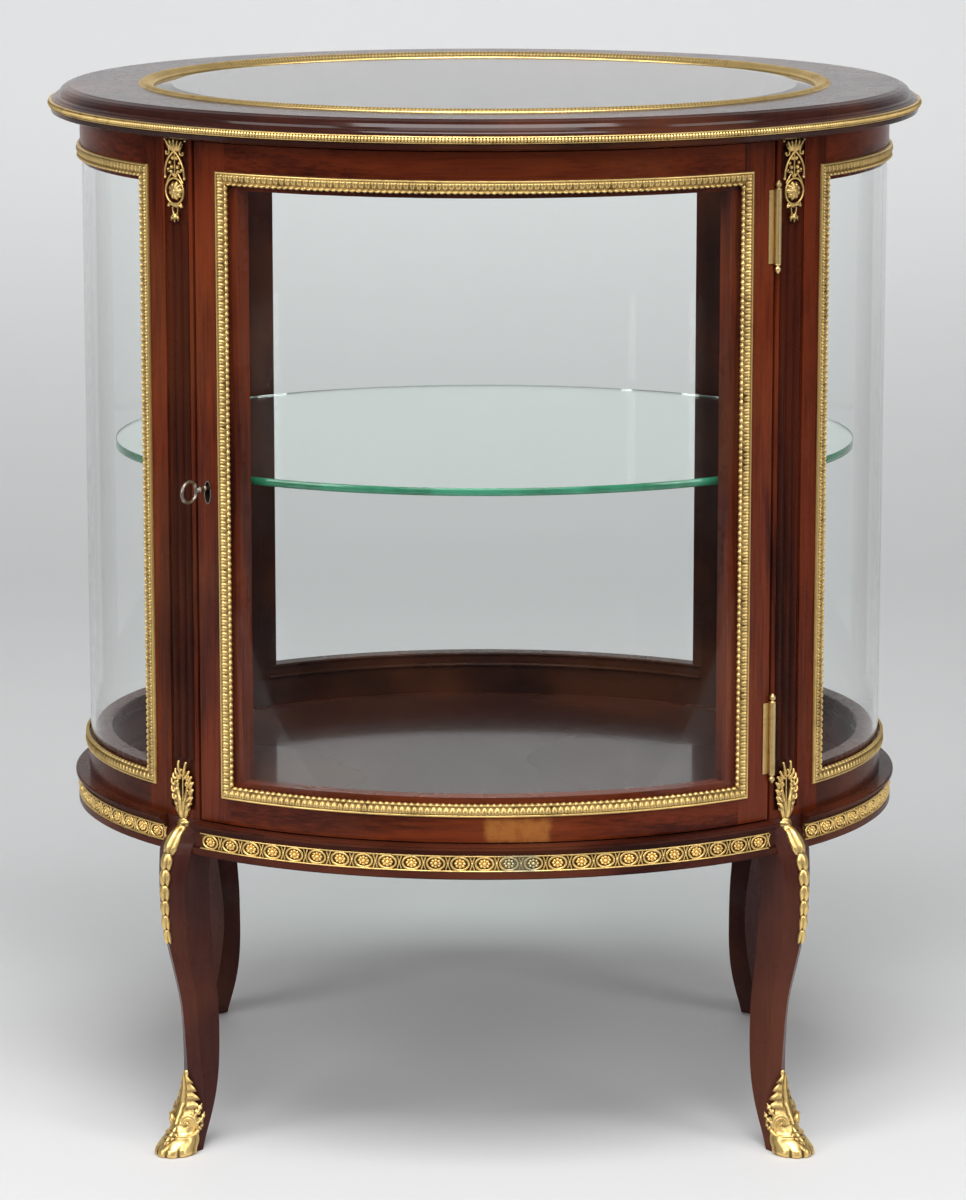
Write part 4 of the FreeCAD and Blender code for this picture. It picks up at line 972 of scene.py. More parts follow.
class CABINET_OT_friezes(bpy.types.Operator):
    """Make the pierced guilloche bands let into the aprons"""

    bl_idname = "cabinet.friezes"
    bl_label = "Friezes"

    def execute(self, context):
        sizes = context.scene.cabinet_sizes
        for node, (side, reach) in FRIEZES.items():
            low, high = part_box(node)
            foot, head = low.z / MM, high.z / MM
            half = half_length(side, reach)
            cells = round(2 * half / sizes.guilloche_pitch)
            pitch = 2 * half / cells
            cell = guilloche_cell(pitch, head - foot)
            sheet = Sheet()
            for number in range(cells):
                shift = -half + (number + 0.5) * pitch
                sheet.join(CASE.lay(cell, shift, FRIEZE_SEAT, (foot + head) / 2, MIDDLES[side]))
            run = np.linspace(-half, half, cells * 4 + 1)
            along, up = np.meshgrid(run, (foot, head), indexing="ij")
            # painted shade: a dark gilt sheet, all hollow, behind the pierced cells stands for the shade seen
            # through the piercings
            ground = CASE.bend(along, np.full(along.shape, FRIEZE_SEAT + 0.25), up, MIDDLES[side])
            sheet.add_grid(ground, np.ones(along.shape))
            for level in (foot + RAIL_HEIGHT, head - RAIL_HEIGHT):
                bar_along(sheet, side, run, FRIEZE_SEAT + RAIL_OUT, level, RAIL_DEPTH, RAIL_HEIGHT)
            finish = "Gilt of the front frieze" if side == "front" else "Gilt"
            make_piece("guilloche_" + side, sheet, finish, "case", [node])
        return {"FINISHED"}


class CABINET_OT_sill_beads(bpy.types.Operator):
    """Make the two small steps along the inside of the lower rails"""

    bl_idname = "cabinet.sill_beads"
    bl_label = "Sill beads"

    def execute(self, context):
        sheet = Sheet()
        for side in ("left", "rear", "right"):
            half = half_length(side, SILL_REACH)
            for inside, level, radius in SILL_BEADS:
                bar_along(sheet, side, np.linspace(-half, half, 81), -inside, level, radius, radius)
        # painted shade: the sill beads take the rear rails' darker finish
        make_piece("sill_beads", sheet, "Rear bent mahogany in painted shade", "case")
        return {"FINISHED"}


# ---------------------------------------------------------------- corner ornament


# Where the legs and the posts' panels stand, and which way they face.
LEG_PLACE, LEG_TURN = (271.0, 200.0), math.radians(40.0)
PANEL_TURN = math.radians(39.5)
PANEL_ANGLE = math.radians(43.2)
PANEL_PLACE = (CASE_REACH[0] * math.cos(PANEL_ANGLE), CASE_REACH[1] * math.sin(PANEL_ANGLE))


def own_frame(out, across, origin):
    """From a frame of its own, in millimetres, to the room's: x out, y across, z up."""
    columns = [out, across, Vector((0.0, 0.0, 1.0)), Vector(origin)]
    return Matrix([[column[row] * MM for column in columns] for row in range(3)] + [[0.0, 0.0, 0.0, 1.0]])


def corner_frame(corner, place, turn):
    """A corner's frame: x out, y towards the front or rear middle, z up."""
    side, front = CORNERS[corner]
    out = Vector((side * math.sin(turn), front * math.cos(turn), 0.0))
    across = Vector((-out.y, out.x, 0.0)) * side * front
    return own_frame(out, across, (side * place[0], front * place[1], 0.0))


def set_at(place, turn, lean):
    """A place inside a corner's frame: turned about the upright and leaned back."""
    return (
        Matrix.Translation(place)
        @ Matrix.Rotation(math.radians(turn), 4, "Z")
        @ Matrix.Rotation(math.radians(-lean), 4, "Y")
    )


def strap(points, radius, proud=1.2, arch=0.0, count=28, taper=0.0):
    """A bar through (across, up) points on a flat ground, arched out in its middle."""
    flat = np.array([(0.0, across, up) for across, up in points])
    path = curve_through(flat, count)
    part = np.linspace(0, 1, count)
    path[:, 0] = proud + arch * np.sin(part * math.pi)
    return tube(path, radius * (1 - taper * part))


def berry(across, up, radius, proud=1.0):
    return dome((proud, across, up), OUT, (radius, radius, radius * 1.1))


# The cap mount's boss, and what it has on both hands. Scrolls: points across and up, radius, how
# proud they stand, their arch and their count of places.
BOSS_LEVEL = 879.6
CAP_SCROLLS = (
    (((9.6, 921.5), (6.8, 917), (6.4, 912.5), (9.6, 911.4), (10.2, 914.2)), 0.8, 1.6, 0.0, 28),
    (((-7.2, 921), (-1.5, 916.2), (6.5, 908.5), (10.6, 899.5), (11.4, 890.8)), 0.95, 1.4, 0.8, 36),
    (((0.0, 892), (3.4, 894.6), (7.2, 890.2), (9.6, 886.6)), 0.8, 1.2, 0.0, 28),
    (((-5.6, 869.5), (0.0, 866.6), (5.0, 867.4), (7.8, 865.4), (7.0, 868.8)), 0.9, 1.4, 0.5, 28),
    (((3.2, 865.0), (2.6, 860.8), (0.9, 857.6)), 0.75, 1.2, 0.0, 28),
)
# Berries: across, up, radius and how proud they stand.
CAP_BERRIES = (
    (9.8, 913.0, 1.3, 1.0),
    (12.0, 924.2, 1.2, 0.6),
    (11.4, 891.0, 1.5, 1.0),
    (2.3, 908.4, 2.0, 0.8),
    (5.6, 904.2, 1.7, 0.8),
    (3.6, 900.4, 2.1, 0.8),
    (7.8, 898.0, 1.6, 0.8),
    (7.6, 866.2, 1.5, 1.0),
)
# Leaves: the spine outwards, across and up, half widths, notch and curl.
CAP_LEAVES = (
    (((1.2, 0.6, 891.5), (2.2, 4.0, 896.5), (2.0, 8.0, 896.0)), (0.9, 1.7, 0.6), 0.2, 0.2),
    (((1.0, 0.4, 858.5), (2.0, 2.8, 857.0), (1.8, 4.4, 852.8)), (0.9, 1.9, 1.4, 0.5), 0.3, 0.4),
)


def make_cap():
    """The pierced mount at a post's head: palmette, lyre, boss in a ring, and leafy drop."""
    sheet = Sheet()
    for tip in (-9.4, -4.9, 0.0, 4.9, 9.4):
        spine = [(1.0, tip * 0.25, 914.5), (2.0, tip * 0.72, 919.5), (2.9, tip, 925.0 - abs(tip) * 0.12)]
        sheet.join(leaf(spine, OUT, (1.2, 2.4, 2.5, 1.1), 1, 0.1, 0.35, 0.45, 0.3, 1.6))
    for hand in (-1, 1):
        for points, *shape in CAP_SCROLLS:
            sheet.join(strap(on_hand(hand, points), *shape))
        for across, *shape in CAP_BERRIES:
            sheet.join(berry(hand * across, *shape))
        for points, widths, notch, curl in CAP_LEAVES:
            sheet.join(leaf(on_hand(hand, points), OUT, widths, 2, notch, 0.4, 0.3, curl, 1.4))
    sheet.join(strap([(0.0, 914.0), (0.0, 892.0)], 0.7, 1.4))
    turns = all_round(48)
    ring = np.stack([np.full(48, 1.8), 10.6 * np.cos(turns), 879.3 + 11.4 * np.sin(turns)], axis=-1)
    sheet.join(tube(ring, 0.95, closed=True))
    sheet.join(dome((-0.5, 0, BOSS_LEVEL), OUT, (8.0, 8.3, 4.0), 8, 48, 9, 0.10))
    for turn in all_round(9):
        centre = (1.6, 5.2 * math.cos(turn), BOSS_LEVEL + 5.4 * math.sin(turn))
        sheet.join(dome(centre, OUT, (1.9, 1.9, 1.2), 3, 10))
    sheet.join(dome((3.0, 0, BOSS_LEVEL), OUT, (1.8, 1.8, 1.2), 3, 12))
    sheet.join(dome((0.4, 0, 866.4), OUT, (4.6, 1.8, 1.4), 3, 12))
    spine = [(1.4, 0, 859.0), (2.4, 0, 855.0), (1.8, 0, 851.6)]
    sheet.join(leaf(spine, OUT, (1.0, 1.9, 0.6), 1, 0.1, 0.5, 0.4))
    return sheet


# The crown's outline: height, its slot's half width and its half width.
CROWN_OUTLINE = (
    (311.6, 0.0, 4.6),
    (315.0, 0.0, 6.8),
    (320.0, 0.0, 8.6),
    (327.0, 0.4, 9.8),
    (332.0, 2.6, 10.4),
    (340.0, 4.6, 10.9),
    (347.0, 4.2, 9.4),
    (351.0, 1.6, 7.0),
    (355.0, 0.6, 4.4),
)
# Fingers round the crown: root, middle and tip across and up, and radius.
CROWN_FINGERS = (
    ((2.2, 353.0), (3.6, 357.5), (4.4, 362.6), 1.5),
    ((5.6, 350.5), (7.2, 352.6), (8.0, 355.0), 1.5),
    ((8.0, 346.5), (9.8, 348.0), (10.8, 350.4), 1.5),
    ((9.6, 340.5), (11.6, 342.4), (12.8, 345.6), 1.3),
    ((9.8, 334.0), (11.8, 335.6), (12.6, 338.8), 1.25),
    ((9.2, 327.5), (11.0, 328.8), (11.9, 331.6), 1.15),
    ((4.2, 342.0), (5.6, 345.0), (7.4, 344.0), 1.1),
    ((4.8, 335.5), (6.4, 338.0), (8.0, 336.6), 1.1),
    ((2.0, 347.5), (4.4, 350.0), (6.0, 347.6), 1.1),
    ((0.8, 350.0), (2.4, 352.6), (1.2, 355.6), 1.2),
)


def make_crown():
    """The pierced crown of leaves at the foot of a post's panel, in the panel's frame."""
    sheet = Sheet()
    outline = np.array(CROWN_OUTLINE)
    levels = np.linspace(CROWN_OUTLINE[0][0], CROWN_OUTLINE[-1][0], 60)
    up, over = np.meshgrid(levels, np.linspace(0, 1, 17), indexing="ij")
    inner, outer = (np.interp(up, outline[:, 0], outline[:, column]) for column in (1, 2))
    beat = np.cos(((up - 313.0) / 6.4 - over * 0.9) * 2 * math.pi)
    above = smoothstep(316, 326, up)
    outer = outer * (1 + 0.07 * beat * smoothstep(316, 324, up))
    across = inner + (outer - inner) * over
    full = np.interp(up, (311.6, 318, 328, 336, 355), (2.6, 4.0, 3.8, 2.6, 1.8))
    bulge = 0.35 + 0.65 * np.sin(math.pi * (0.18 + 0.74 * over)) ** 0.8
    lift = full * bulge + 0.55 * beat * smoothstep(0.15, 0.6, over) * above
    lift -= 1.0 * ridge(over, 0.46, 0.10) * smoothstep(314, 322, up)
    lift[:, -1] = 0.2
    hollow = smoothstep(0.1, -0.9, beat) * smoothstep(0.25, 0.6, over) * above
    hollow = np.maximum(hollow, ridge(over, 0.46, 0.11) * 0.9)
    for hand in (-1, 1):
        sheet.add_grid(np.stack([lift, hand * across, up], axis=-1), np.clip(hollow, 0, 1))
        # painted shade: the slot's side walls are half dark
        wall = np.stack([np.stack([lift[:, 0], hand * across[:, 0], up[:, 0]], axis=-1)] * 2, axis=1)
        wall[:, 1, 0] = -1.0
        sheet.add_grid(wall, np.ones(wall.shape[:2]) * 0.6)
        for *points, wide in CROWN_FINGERS:
            finger = on_hand(hand, points)
            sheet.join(strap(finger, wide, 1.6, 0.9, 14, 0.25))
            sheet.join(berry(*finger[-1], wide * 0.95, 1.4))
    sheet.join(strap([(0.0, 322.0), (0.0, 352.0)], 0.8, 0.8))
    return sheet


# The arris from the shoulder down the knee, outwards and up in the leg's frame.
KNEE_ARRIS = (
    (-4.0, 311.0),
    (-0.9, 308.0),
    (4.6, 302.6),
    (11.4, 297.6),
    (17.6, 290.0),
    (21.6, 282.0),
    (24.6, 270.0),
    (26.1, 254.0),
    (25.8, 238.0),
    (24.2, 216.0),
    (19.2, 192.0),
    (14.0, 176.0),
)
# How steeply the knee's faces fall from the arris, how wide they are laid and how soft the arris is.
FACE_SLOPE, FACE_SPREAD, SOFTNESS = 0.58, 0.87, 2.0
# The neck's length, half the first husk's width, and how much narrower and shorter each next one is.
NECK_LENGTH, HUSK_WIDTH, HUSK_NARROWING, HUSK_SHORTENING = 39.0, 6.6, 0.085, 0.985


class Arris:
    """Places on the knee's two faces, by distance down the arris and across it."""

    def __init__(self):
        self.path = curve_through([(out, 0.0, up) for out, up in KNEE_ARRIS], 260)
        steps = np.linalg.norm(np.diff(self.path, axis=0), axis=1)
        self.down = np.concatenate([[0.0], np.cumsum(steps)])
        self.along = unit(np.gradient(self.path, axis=0))

    def bend(self, down, across, lift):
        """Points from flat ones: down the arris, across it, and out of the skin."""
        base, along = (
            np.stack([np.interp(down, self.down, line[:, axis]) for axis in range(3)], axis=-1)
            for line in (self.path, self.along)
        )
        out = unit(np.stack([-along[..., 2], np.zeros(np.shape(down)), along[..., 0]], axis=-1))
        reach = np.sqrt(across**2 + SOFTNESS**2)
        side = np.array([0.0, 1.0, 0.0])
        point = base - out * (FACE_SLOPE * (reach - SOFTNESS))[..., None]
        point = point + side * (FACE_SPREAD * across)[..., None]
        normal = unit(out + side * (FACE_SLOPE * (across / reach))[..., None])
        return point + normal * lift[..., None]


def husk(arris, start, long, wide):
    """One bell-shaped husk of the chain: narrow at its head, full below, with three tips."""
    part, over = np.meshgrid(np.linspace(0, 1, 22), np.linspace(-1, 1, 19), indexing="ij")
    swell = np.interp(part, (0, 0.12, 0.35, 0.62, 0.85, 1.0), (0.52, 0.74, 0.98, 1.0, 0.86, 0.66))
    tips = 1 + 0.09 * np.cos(over * 2 * math.pi) * smoothstep(0.5, 1.0, part)
    proud = np.interp(part, (0, 0.15, 0.45, 0.75, 0.92, 1.0), (1.0, 2.4, 3.3, 3.1, 2.4, 1.2))
    lift = 0.3 + proud * half_round(over) ** 0.8
    groove = ridge(np.abs(over), 0.40, 0.12) * smoothstep(0.15, 0.5, part)
    lift -= 0.75 * groove
    lift[:, 0] = lift[:, -1] = 0.1
    # darker in the grooves, and painted shade where a husk tucks under the next and on its turned-under end
    hollow = groove * 0.75 + smoothstep(0.13, 0.0, part) + smoothstep(0.92, 1.0, part) * 0.8
    skin = arris.bend(start + long * part * tips, wide * swell * over, lift)
    end = arris.bend(start + long * (part[-1:] * tips[-1:]) - 0.8, wide * 0.5 * over[-1:], np.zeros((1, 19)))
    sheet = Sheet()
    sheet.add_grid(np.vstack([skin, end]), np.vstack([np.clip(hollow, 0, 1), np.ones((1, 19))]))
    return sheet


def make_chain(sizes):
    """The collar and leaf over the shoulder, and the chain of husks down the knee."""
    arris = Arris()
    sheet = Sheet()
    part, over = np.meshgrid(np.linspace(0, 1, 44), np.linspace(-1, 1, 21), indexing="ij")
    places = (0, 0.10, 0.17, 0.24, 0.40, 0.62, 0.84, 0.94, 1.0)
    half = np.interp(part, places, (6.0, 7.8, 7.8, 6.2, 7.4, 8.2, 8.0, 6.4, 4.0))
    proud = np.interp(part, places, (2.0, 3.8, 3.8, 2.0, 3.2, 3.6, 3.4, 2.4, 1.2))
    lift = 0.4 + proud * half_round(over) ** 0.8
    leafy = smoothstep(0.22, 0.34, part)
    twist = np.cos((over * 1.3 + part * 9.0) * 2 * math.pi) * (1 - leafy)
    groove = ridge(np.abs(over), 0.42, 0.11) * leafy
    lift += 0.35 * twist - 0.9 * groove + 0.4 * ridge(over, 0.0, 0.16) * leafy
    lobed = np.cos(over * 3 * math.pi) * smoothstep(0.75, 1.0, part)
    hollow = groove * 0.8 + smoothstep(0.0, -1.0, twist) * 0.7 + 0.9 * smoothstep(0.92, 1.0, part)
    hollow = hollow + ridge(part, 0.23, 0.02) * 0.8
    reach = 0.2 + NECK_LENGTH * part * (1 - 0.035 * lobed)
    sheet.add_grid(arris.bend(reach, half * over, lift), np.clip(hollow, 0, 1))
    start = NECK_LENGTH - 1.0
    long = sizes.husk_length
    for number in range(sizes.husk_count):
        sheet.join(husk(arris, start, long * 1.03, HUSK_WIDTH * (1 - HUSK_NARROWING * number)))
        start += long
        long *= HUSK_SHORTENING
    return sheet


# The shoe's skin: height, its middle outwards, half its length and half its width.
SHOE_SKIN = (
    (0.0, 12.0, 22.4, 17.4),
    (2.5, 12.0, 23.2, 18.2),
    (7.0, 11.6, 22.6, 17.8),
    (13.0, 8.0, 18.8, 16.3),
    (20.0, 3.8, 14.2, 13.9),
    (26.0, 1.0, 13.0, 14.0),
    (32.0, -1.3, 12.4, 14.6),
    (45.0, -6.8, 10.9, 13.8),
    (58.0, -7.0, 8.7, 9.6),
    (74.0, -4.5, 6.2, 6.2),
)
# The wood inside it: height, where its arris stands, half its width and the depth of its point.
ANKLE = ((0.0, 20.0, 14.0, 8.0), (20.0, 6.0, 11.5, 7.0), (45.0, -1.0, 12.0, 7.0), (86.0, -0.6, 10.5, 7.0))


def at_height(table, height, column):
    """A table's value at a height, between its rows."""
    table = np.array(table)
    return np.interp(height, table[:, 0], table[:, column])


def shoe_skin(turn, height, lift):
    middle, long, wide = (at_height(SHOE_SKIN, height, column) for column in (1, 2, 3))
    return np.stack([middle + (long + lift) * np.cos(turn), (wide + lift) * np.sin(turn), height], axis=-1)


def ankle_front(across, height):
    """How far out the foot's front stands: the wood's two faces, or the shoe's skin before them."""
    arris, half, depth = (at_height(ANKLE, height, column) for column in (1, 2, 3))
    middle, long, wide = (at_height(SHOE_SKIN, height, column) for column in (1, 2, 3))
    faces = arris - depth / half * np.sqrt(across**2 + 1.0)
    skin = middle + long * half_round(across / wide)
    return np.maximum(faces, skin)


def front_leaf(foot, head, widths, lobes, proud):
    """A long lobed leaf laid up the foot's front, with a rib and veins."""
    rows, columns = 14 * lobes + 1, 23
    part, over = np.meshgrid(np.linspace(0, 1, rows), np.linspace(-1, 1, columns), indexing="ij")
    aside = np.abs(over)
    wave = (part * lobes) % 1.0
    half = np.interp(part, np.linspace(0, 1, len(widths)), widths)
    half = half * (1 - 0.30 * wave**2 * smoothstep(1.0, 0.94, part))
    droop = aside ** 1.6 * (head - foot) / lobes * 0.30
    height = foot + (head - foot) * part - droop * smoothstep(1.0, 0.85, part)
    across = half * over
    veins = np.cos((part * lobes - aside * 0.55) * 2 * math.pi)
    lift = proud * (0.25 + 0.75 * half_round(over))
    lift += 0.4 * ridge(over, 0.0, 0.13) - 0.6 * ridge(aside, 0.28, 0.11)
    lift += 0.42 * veins * smoothstep(0.2, 0.5, aside) + 0.7 * smoothstep(0.6, 1.0, aside)
    lift[:, 0] = lift[:, -1] = 0.15
    out = ankle_front(across, height) + lift * 0.95
    point = np.stack([out, across, height], axis=-1)
    hollow = np.clip(0.5 - 0.5 * veins, 0, 1) * smoothstep(0.2, 0.5, aside) * 0.8
    hollow = np.maximum(hollow, ridge(aside, 0.28, 0.12))
    sheet = Sheet()
    sheet.add_grid(point, np.clip(hollow, 0, 1))
    return sheet


# The fold from a volute to the toes, on one hand.
SHOE_FOLD = ((1.0, 14.6, 20.0), (8.0, 14.2, 17.2), (16.0, 11.2, 17.4), (20.6, 5.6, 17.6))
# The shoe's toes are this wide an angle each, and end at this height.
TOE_TURN, TOE_HEAD = math.radians(17.0), 14.0
# Leaves at the shoe's rear edges: root, middle and tip, and half their width.
SHOE_LEAVES = (
    ((5.0, 12.6, 33.0), (0.5, 14.6, 38.5), (-4.5, 14.4, 44.5), 3.2),
    ((3.0, 14.4, 27.0), (-3.0, 15.4, 30.5), (-7.0, 15.2, 36.0), 2.8),
    ((3.0, 14.2, 22.0), (-2.0, 14.6, 22.5), (-6.0, 14.4, 26.0), 2.4),
)


def make_paw():
    """The gilt shoe: a long leaf over two volutes, a smooth instep and rounded toes."""
    sheet = Sheet()
    levels = np.concatenate([[0.0, 0.6], np.linspace(1.5, 20, 24), np.linspace(21.0, 46, 26)])
    place, height = np.meshgrid(np.linspace(-1, 1, 145), levels, indexing="ij")
    reach = np.radians(np.interp(height, (0, 12, 20, 32, 46), (100, 112, 108, 98, 84)))
    frill = 4.5 * np.cos(height * 2 * math.pi / 7.5) * smoothstep(14.0, 24.0, height)
    turn = place * (reach + np.radians(frill) * smoothstep(0.7, 1.0, np.abs(place)))
    slump = 1 - 0.42 * smoothstep(0.5, 1.3, np.abs(turn))
    height = np.where(height > TOE_HEAD, TOE_HEAD + (height - TOE_HEAD) * slump, height)
    toe = np.abs(np.cos(turn / TOE_TURN * math.pi / 2))
    front = smoothstep(math.radians(82), math.radians(60), np.abs(turn))
    low = smoothstep(11.5, 5.5, height) * front
    lift = low * 2.4 * (np.sqrt(toe) - 0.75)
    lift += 0.9 * ridge(height, 3.2, 2.4) * (1 - front * 0.5)
    lift -= 1.1 * smoothstep(1.0, 0.0, height)
    crease = ridge(height - 12.5 - 3.0 * np.cos(turn), 0.0, 1.1) * front
    lift -= 0.7 * crease
    edge = smoothstep(0.86, 0.97, np.abs(place))
    lift += 0.9 * edge * smoothstep(4.0, 10.0, height)
    hollow = low * smoothstep(0.55, 0.15, toe) + crease * 0.7
    hollow += smoothstep(0.80, 0.87, np.abs(place)) * (1 - edge) * 0.8
    skin = shoe_skin(turn, height, lift)
    for border, inner in ((0, 1), (-1, -2)):
        skin[border] = skin[inner] - [0.6, 0.0, 0.0] - skin[inner] * [0.0, 0.16, 0.0]
    sheet.add_grid(skin, np.clip(hollow, 0, 1))
    under = skin[1:-1, 0]
    centre = np.array([[10.0, 0.0, 0.2]]) + np.zeros_like(under)
    sheet.add_grid(np.stack([under, centre]))
    sheet.join(front_leaf(27.0, 72.6, (9.5, 12.4, 13.4, 13.6, 11.4, 8.6, 6.6, 0.4), 6, 2.4))
    sheet.join(dome((0.6, 0.0, 71.2), OUT, (2.6, 3.4, 1.8), 4, 14))
    for hand in (-1, 1):
        volute = scroll(math.radians(230), 1.55, 8.2, hand, 2.0, 1.45, 72)
        sheet.join(volute.moved(set_at((9.6, hand * 9.2, 27.5), hand * 36, -8)))
        back = dome((0.0, 0.0, 0.0), OUT, (8.6, 8.8, 2.0), 5, 36)
        sheet.join(back.moved(set_at((8.4, hand * 8.8, 27.5), hand * 36, -8)))
        for *points, wide in SHOE_LEAVES:
            facing, widths = (0.6, 0.75 * hand, 0.15), (1.2, wide, wide * 0.8, 0.5)
            sheet.join(leaf(on_hand(hand, points), facing, widths, 3, 0.35, 0.3, 0.5, 0.8, 1.6))
        fold = curve_through(on_hand(hand, SHOE_FOLD), 30)
        sheet.join(tube(fold, np.linspace(1.7, 1.1, 30), (0.5, 0.6 * hand, 0.6)))
    instep = [(15.0, 0, 23.0), (20.5, 0, 18.8), (26.4, 0, 14.2), (31.4, 0, 9.6)]
    sheet.join(leaf(instep, (0.6, 0.0, 0.8), (3.4, 6.4, 6.6, 4.8, 0.8), 4, 0.34, 0.12, 0.9, 0.6, 1.8, 41))
    return sheet


class CABINET_OT_shelf_edge(bpy.types.Operator):
    """Make the green of the glass shelf's polished edge"""

    bl_idname = "cabinet.shelf_edge"
    bl_label = "Shelf edge"

    def execute(self, context):
        low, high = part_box("shelf_glass")
        foot, head = low.z / MM, high.z / MM
        rim = Oval(high.x / MM, high.y / MM)
        # the edge's faces: eased corners set in, and a flat that stands proud
        proud, set_in, ease = 0.05, 0.7, 0.02
        section = [(-set_in, foot - ease), (proud, foot + set_in)]
        section += [(proud, head - set_in), (-set_in, head + ease)]
        turns, rows = np.meshgrid(np.linspace(0, 360, 241)[:-1], np.arange(len(section)), indexing="ij")
        outs, ups = np.array(section)[rows].transpose(2, 0, 1)
        x = (rim.semi_x + outs) * np.cos(np.radians(turns))
        y = (rim.semi_y + outs) * np.sin(np.radians(turns))
        sheet = Sheet()
        sheet.add_grid(np.stack([x, y, ups], axis=-1) * MM, round_rows=True)
        make_piece("shelf_edge", sheet, "Shelf edge", "shelf")
        return {"FINISHED"}


class CABINET_OT_corner_mounts(bpy.types.Operator):
    """Make the gilt cap mounts, knee mounts with their husk chains, and the shoes of the legs"""

    bl_idname = "cabinet.corner_mounts"
    bl_label = "Corner mounts"

    def execute(self, context):
        sizes = context.scene.cabinet_sizes
        cap, crown, chain, paw = make_cap(), make_crown(), make_chain(sizes), make_paw()
        caps, knees = Sheet(), Sheet()
        for corner in CORNERS:
            panel = corner_frame(corner, PANEL_PLACE, PANEL_TURN)
            leg = corner_frame(corner, LEG_PLACE, LEG_TURN)
            caps.join(cap.moved(panel))
            knees.join(crown.moved(panel))
            knees.join(chain.moved(leg))
            shoe = paw.moved(leg)
            make_piece("gilt_shoe_" + corner, shoe, "Gilt", "case", ["sabot_" + corner])
        make_piece("gilt_caps", caps, "Gilt", "case", ["cap_mounts"])
        make_piece("gilt_knee_mounts", knees, "Gilt", "case", ["knee_mounts"])
        return {"FINISHED"}


# ---------------------------------------------------------------- key and hinges


# The key's place and the way it points out of the door, and the hinges' axis and feet.
KEY_PLACE = (-244.4, -219.0, 618.0)
KEY_OUT = (-0.568, -0.823)
HINGE_AXIS = (257.0, -214.1)
HINGE_FEET, HINGE_LENGTH = (356.0, 817.0), 65.0
# Turned profiles: places along the axis and the radius there.
KEY_SHANK = (
    ((-12.0, 0.0), (-12.0, 1.9), (-11.5, 2.1), (4.0, 2.1), (4.4, 2.6), (5.2, 2.9), (6.0, 2.6), (6.4, 2.2))
    + ((11.0, 2.2), (11.6, 2.7), (12.6, 3.1), (13.6, 2.7), (14.4, 2.2), (16.5, 2.3), (17.5, 0.0))
)
FINIAL = (
    ((0.0, 2.5), (0.4, 2.9), (1.2, 2.9), (1.6, 2.0), (2.2, 1.5), (2.8, 1.9), (3.8, 2.7), (5.0, 2.85))
    + ((6.2, 2.6), (7.2, 1.9), (7.8, 1.3), (8.2, 1.4), (8.6, 0.9), (8.8, 0.0))
)


def lathe(profile, sides=20):
    """A turned form about the x axis, from (along, radius) points."""
    turns = all_round(sides)
    grid = [[(along, radius * math.cos(t), radius * math.sin(t)) for t in turns] for along, radius in profile]
    sheet = Sheet()
    sheet.add_grid(np.array(grid), round_columns=True)
    return sheet


class CABINET_OT_key(bpy.types.Operator):
    """Make the key in the door's lock"""

    bl_idname = "cabinet.key"
    bl_label = "Key"

    def execute(self, context):
        out = Vector((*KEY_OUT, 0.0)).normalized()
        across = Vector((-out.y, out.x, 0.0))
        sheet = lathe(KEY_SHANK)
        bit = np.array([[(-11.7, y, z) for z in (-6.9, -1.5)] for y in (-0.85, 0.85)])
        sheet.add_grid(np.concatenate([bit, bit[::-1] + [1.5, 0, 0]]), round_rows=True)
        turns = all_round(56)
        pinch = 1 - 0.10 * ridge(turns, math.pi, 0.5)
        bow = np.stack([26.5 + 10.3 * np.cos(turns) * pinch, np.zeros(56), 9.3 * np.sin(turns)], axis=-1)
        sheet.join(tube(bow, 1.65, (0, 1, 0), 12, closed=True))
        key = sheet.moved(own_frame(out, across, KEY_PLACE))
        make_piece("key_with_bow", key, "Worn steel", "key", ["key"])
        return {"FINISHED"}


class CABINET_OT_hinge_pins(bpy.types.Operator):
    """Make the hinge pins with their turned finials"""

    bl_idname = "cabinet.hinge_pins"
    bl_label = "Hinge pins"

    def execute(self, context):
        sheet = Sheet()
        metres = Matrix.Scale(MM, 4)
        upright = Matrix.Rotation(math.radians(-90.0), 4, "Y")
        overturned = Matrix.Rotation(math.radians(90.0), 4, "Y")
        for foot in HINGE_FEET:
            for level, turn in ((foot, overturned), (foot + HINGE_LENGTH, upright)):
                sheet.join(lathe(FINIAL).moved(metres @ Matrix.Translation((*HINGE_AXIS, level)) @ turn))
            rod = lathe(((0.0, 1.4), (HINGE_LENGTH, 1.4)), 12)
            sheet.join(rod.moved(metres @ Matrix.Translation((*HINGE_AXIS, foot)) @ upright))
        make_piece("turned_pins", sheet, "Aged brass", "case", ["hinge_pins"])
        return {"FINISHED"}


# ---------------------------------------------------------------- the stage


# The stage in metres: its front, where the floor ends for the lamps, where it starts to rise, the
# radius of its rise, and its head and half its width.
STAGE_FRONT, FLOOR_END, RISE_START, RISE_RADIUS, STAGE_REACH = -7.0, -1.3, 2.2, 1.2, 7.0
GROUND_SHADE, WALL_SHADE = 0.88, 1.18
SKY, SKY_STRENGTH, SEEN_STRENGTH = (0.93, 0.95, 1.0, 1.0), 0.20, 0.85
# Lamps: place, what they point at, size, and power in watts.
LAMPS = {
    "front": ((0.0, -4.4, 3.0), (0.0, 0.0, 0.6), (3.4, 1.2), 46.0),
    "overhead": ((0.0, -1.5, 3.3), (0.0, 0.0, 0.5), (2.2, 1.6), 98.0),
    "left": ((-2.8, -2.6, 2.2), (0.0, 0.0, 0.6), (1.8, 2.4), 60.0),
    "right": ((3.0, -2.2, 1.9), (0.0, 0.0, 0.6), (1.4, 2.2), 38.0),
}
# The camera: its place in metres, how many degrees it looks down, and its lens.
CAMERA_PLACE, CAMERA_DIP = (0.0, -4.1854, 1.4046), 10.748
LENS_LENGTH, SENSOR_WIDTH, SHIFT = 137.34, 36.0, (-0.00125, -0.125)


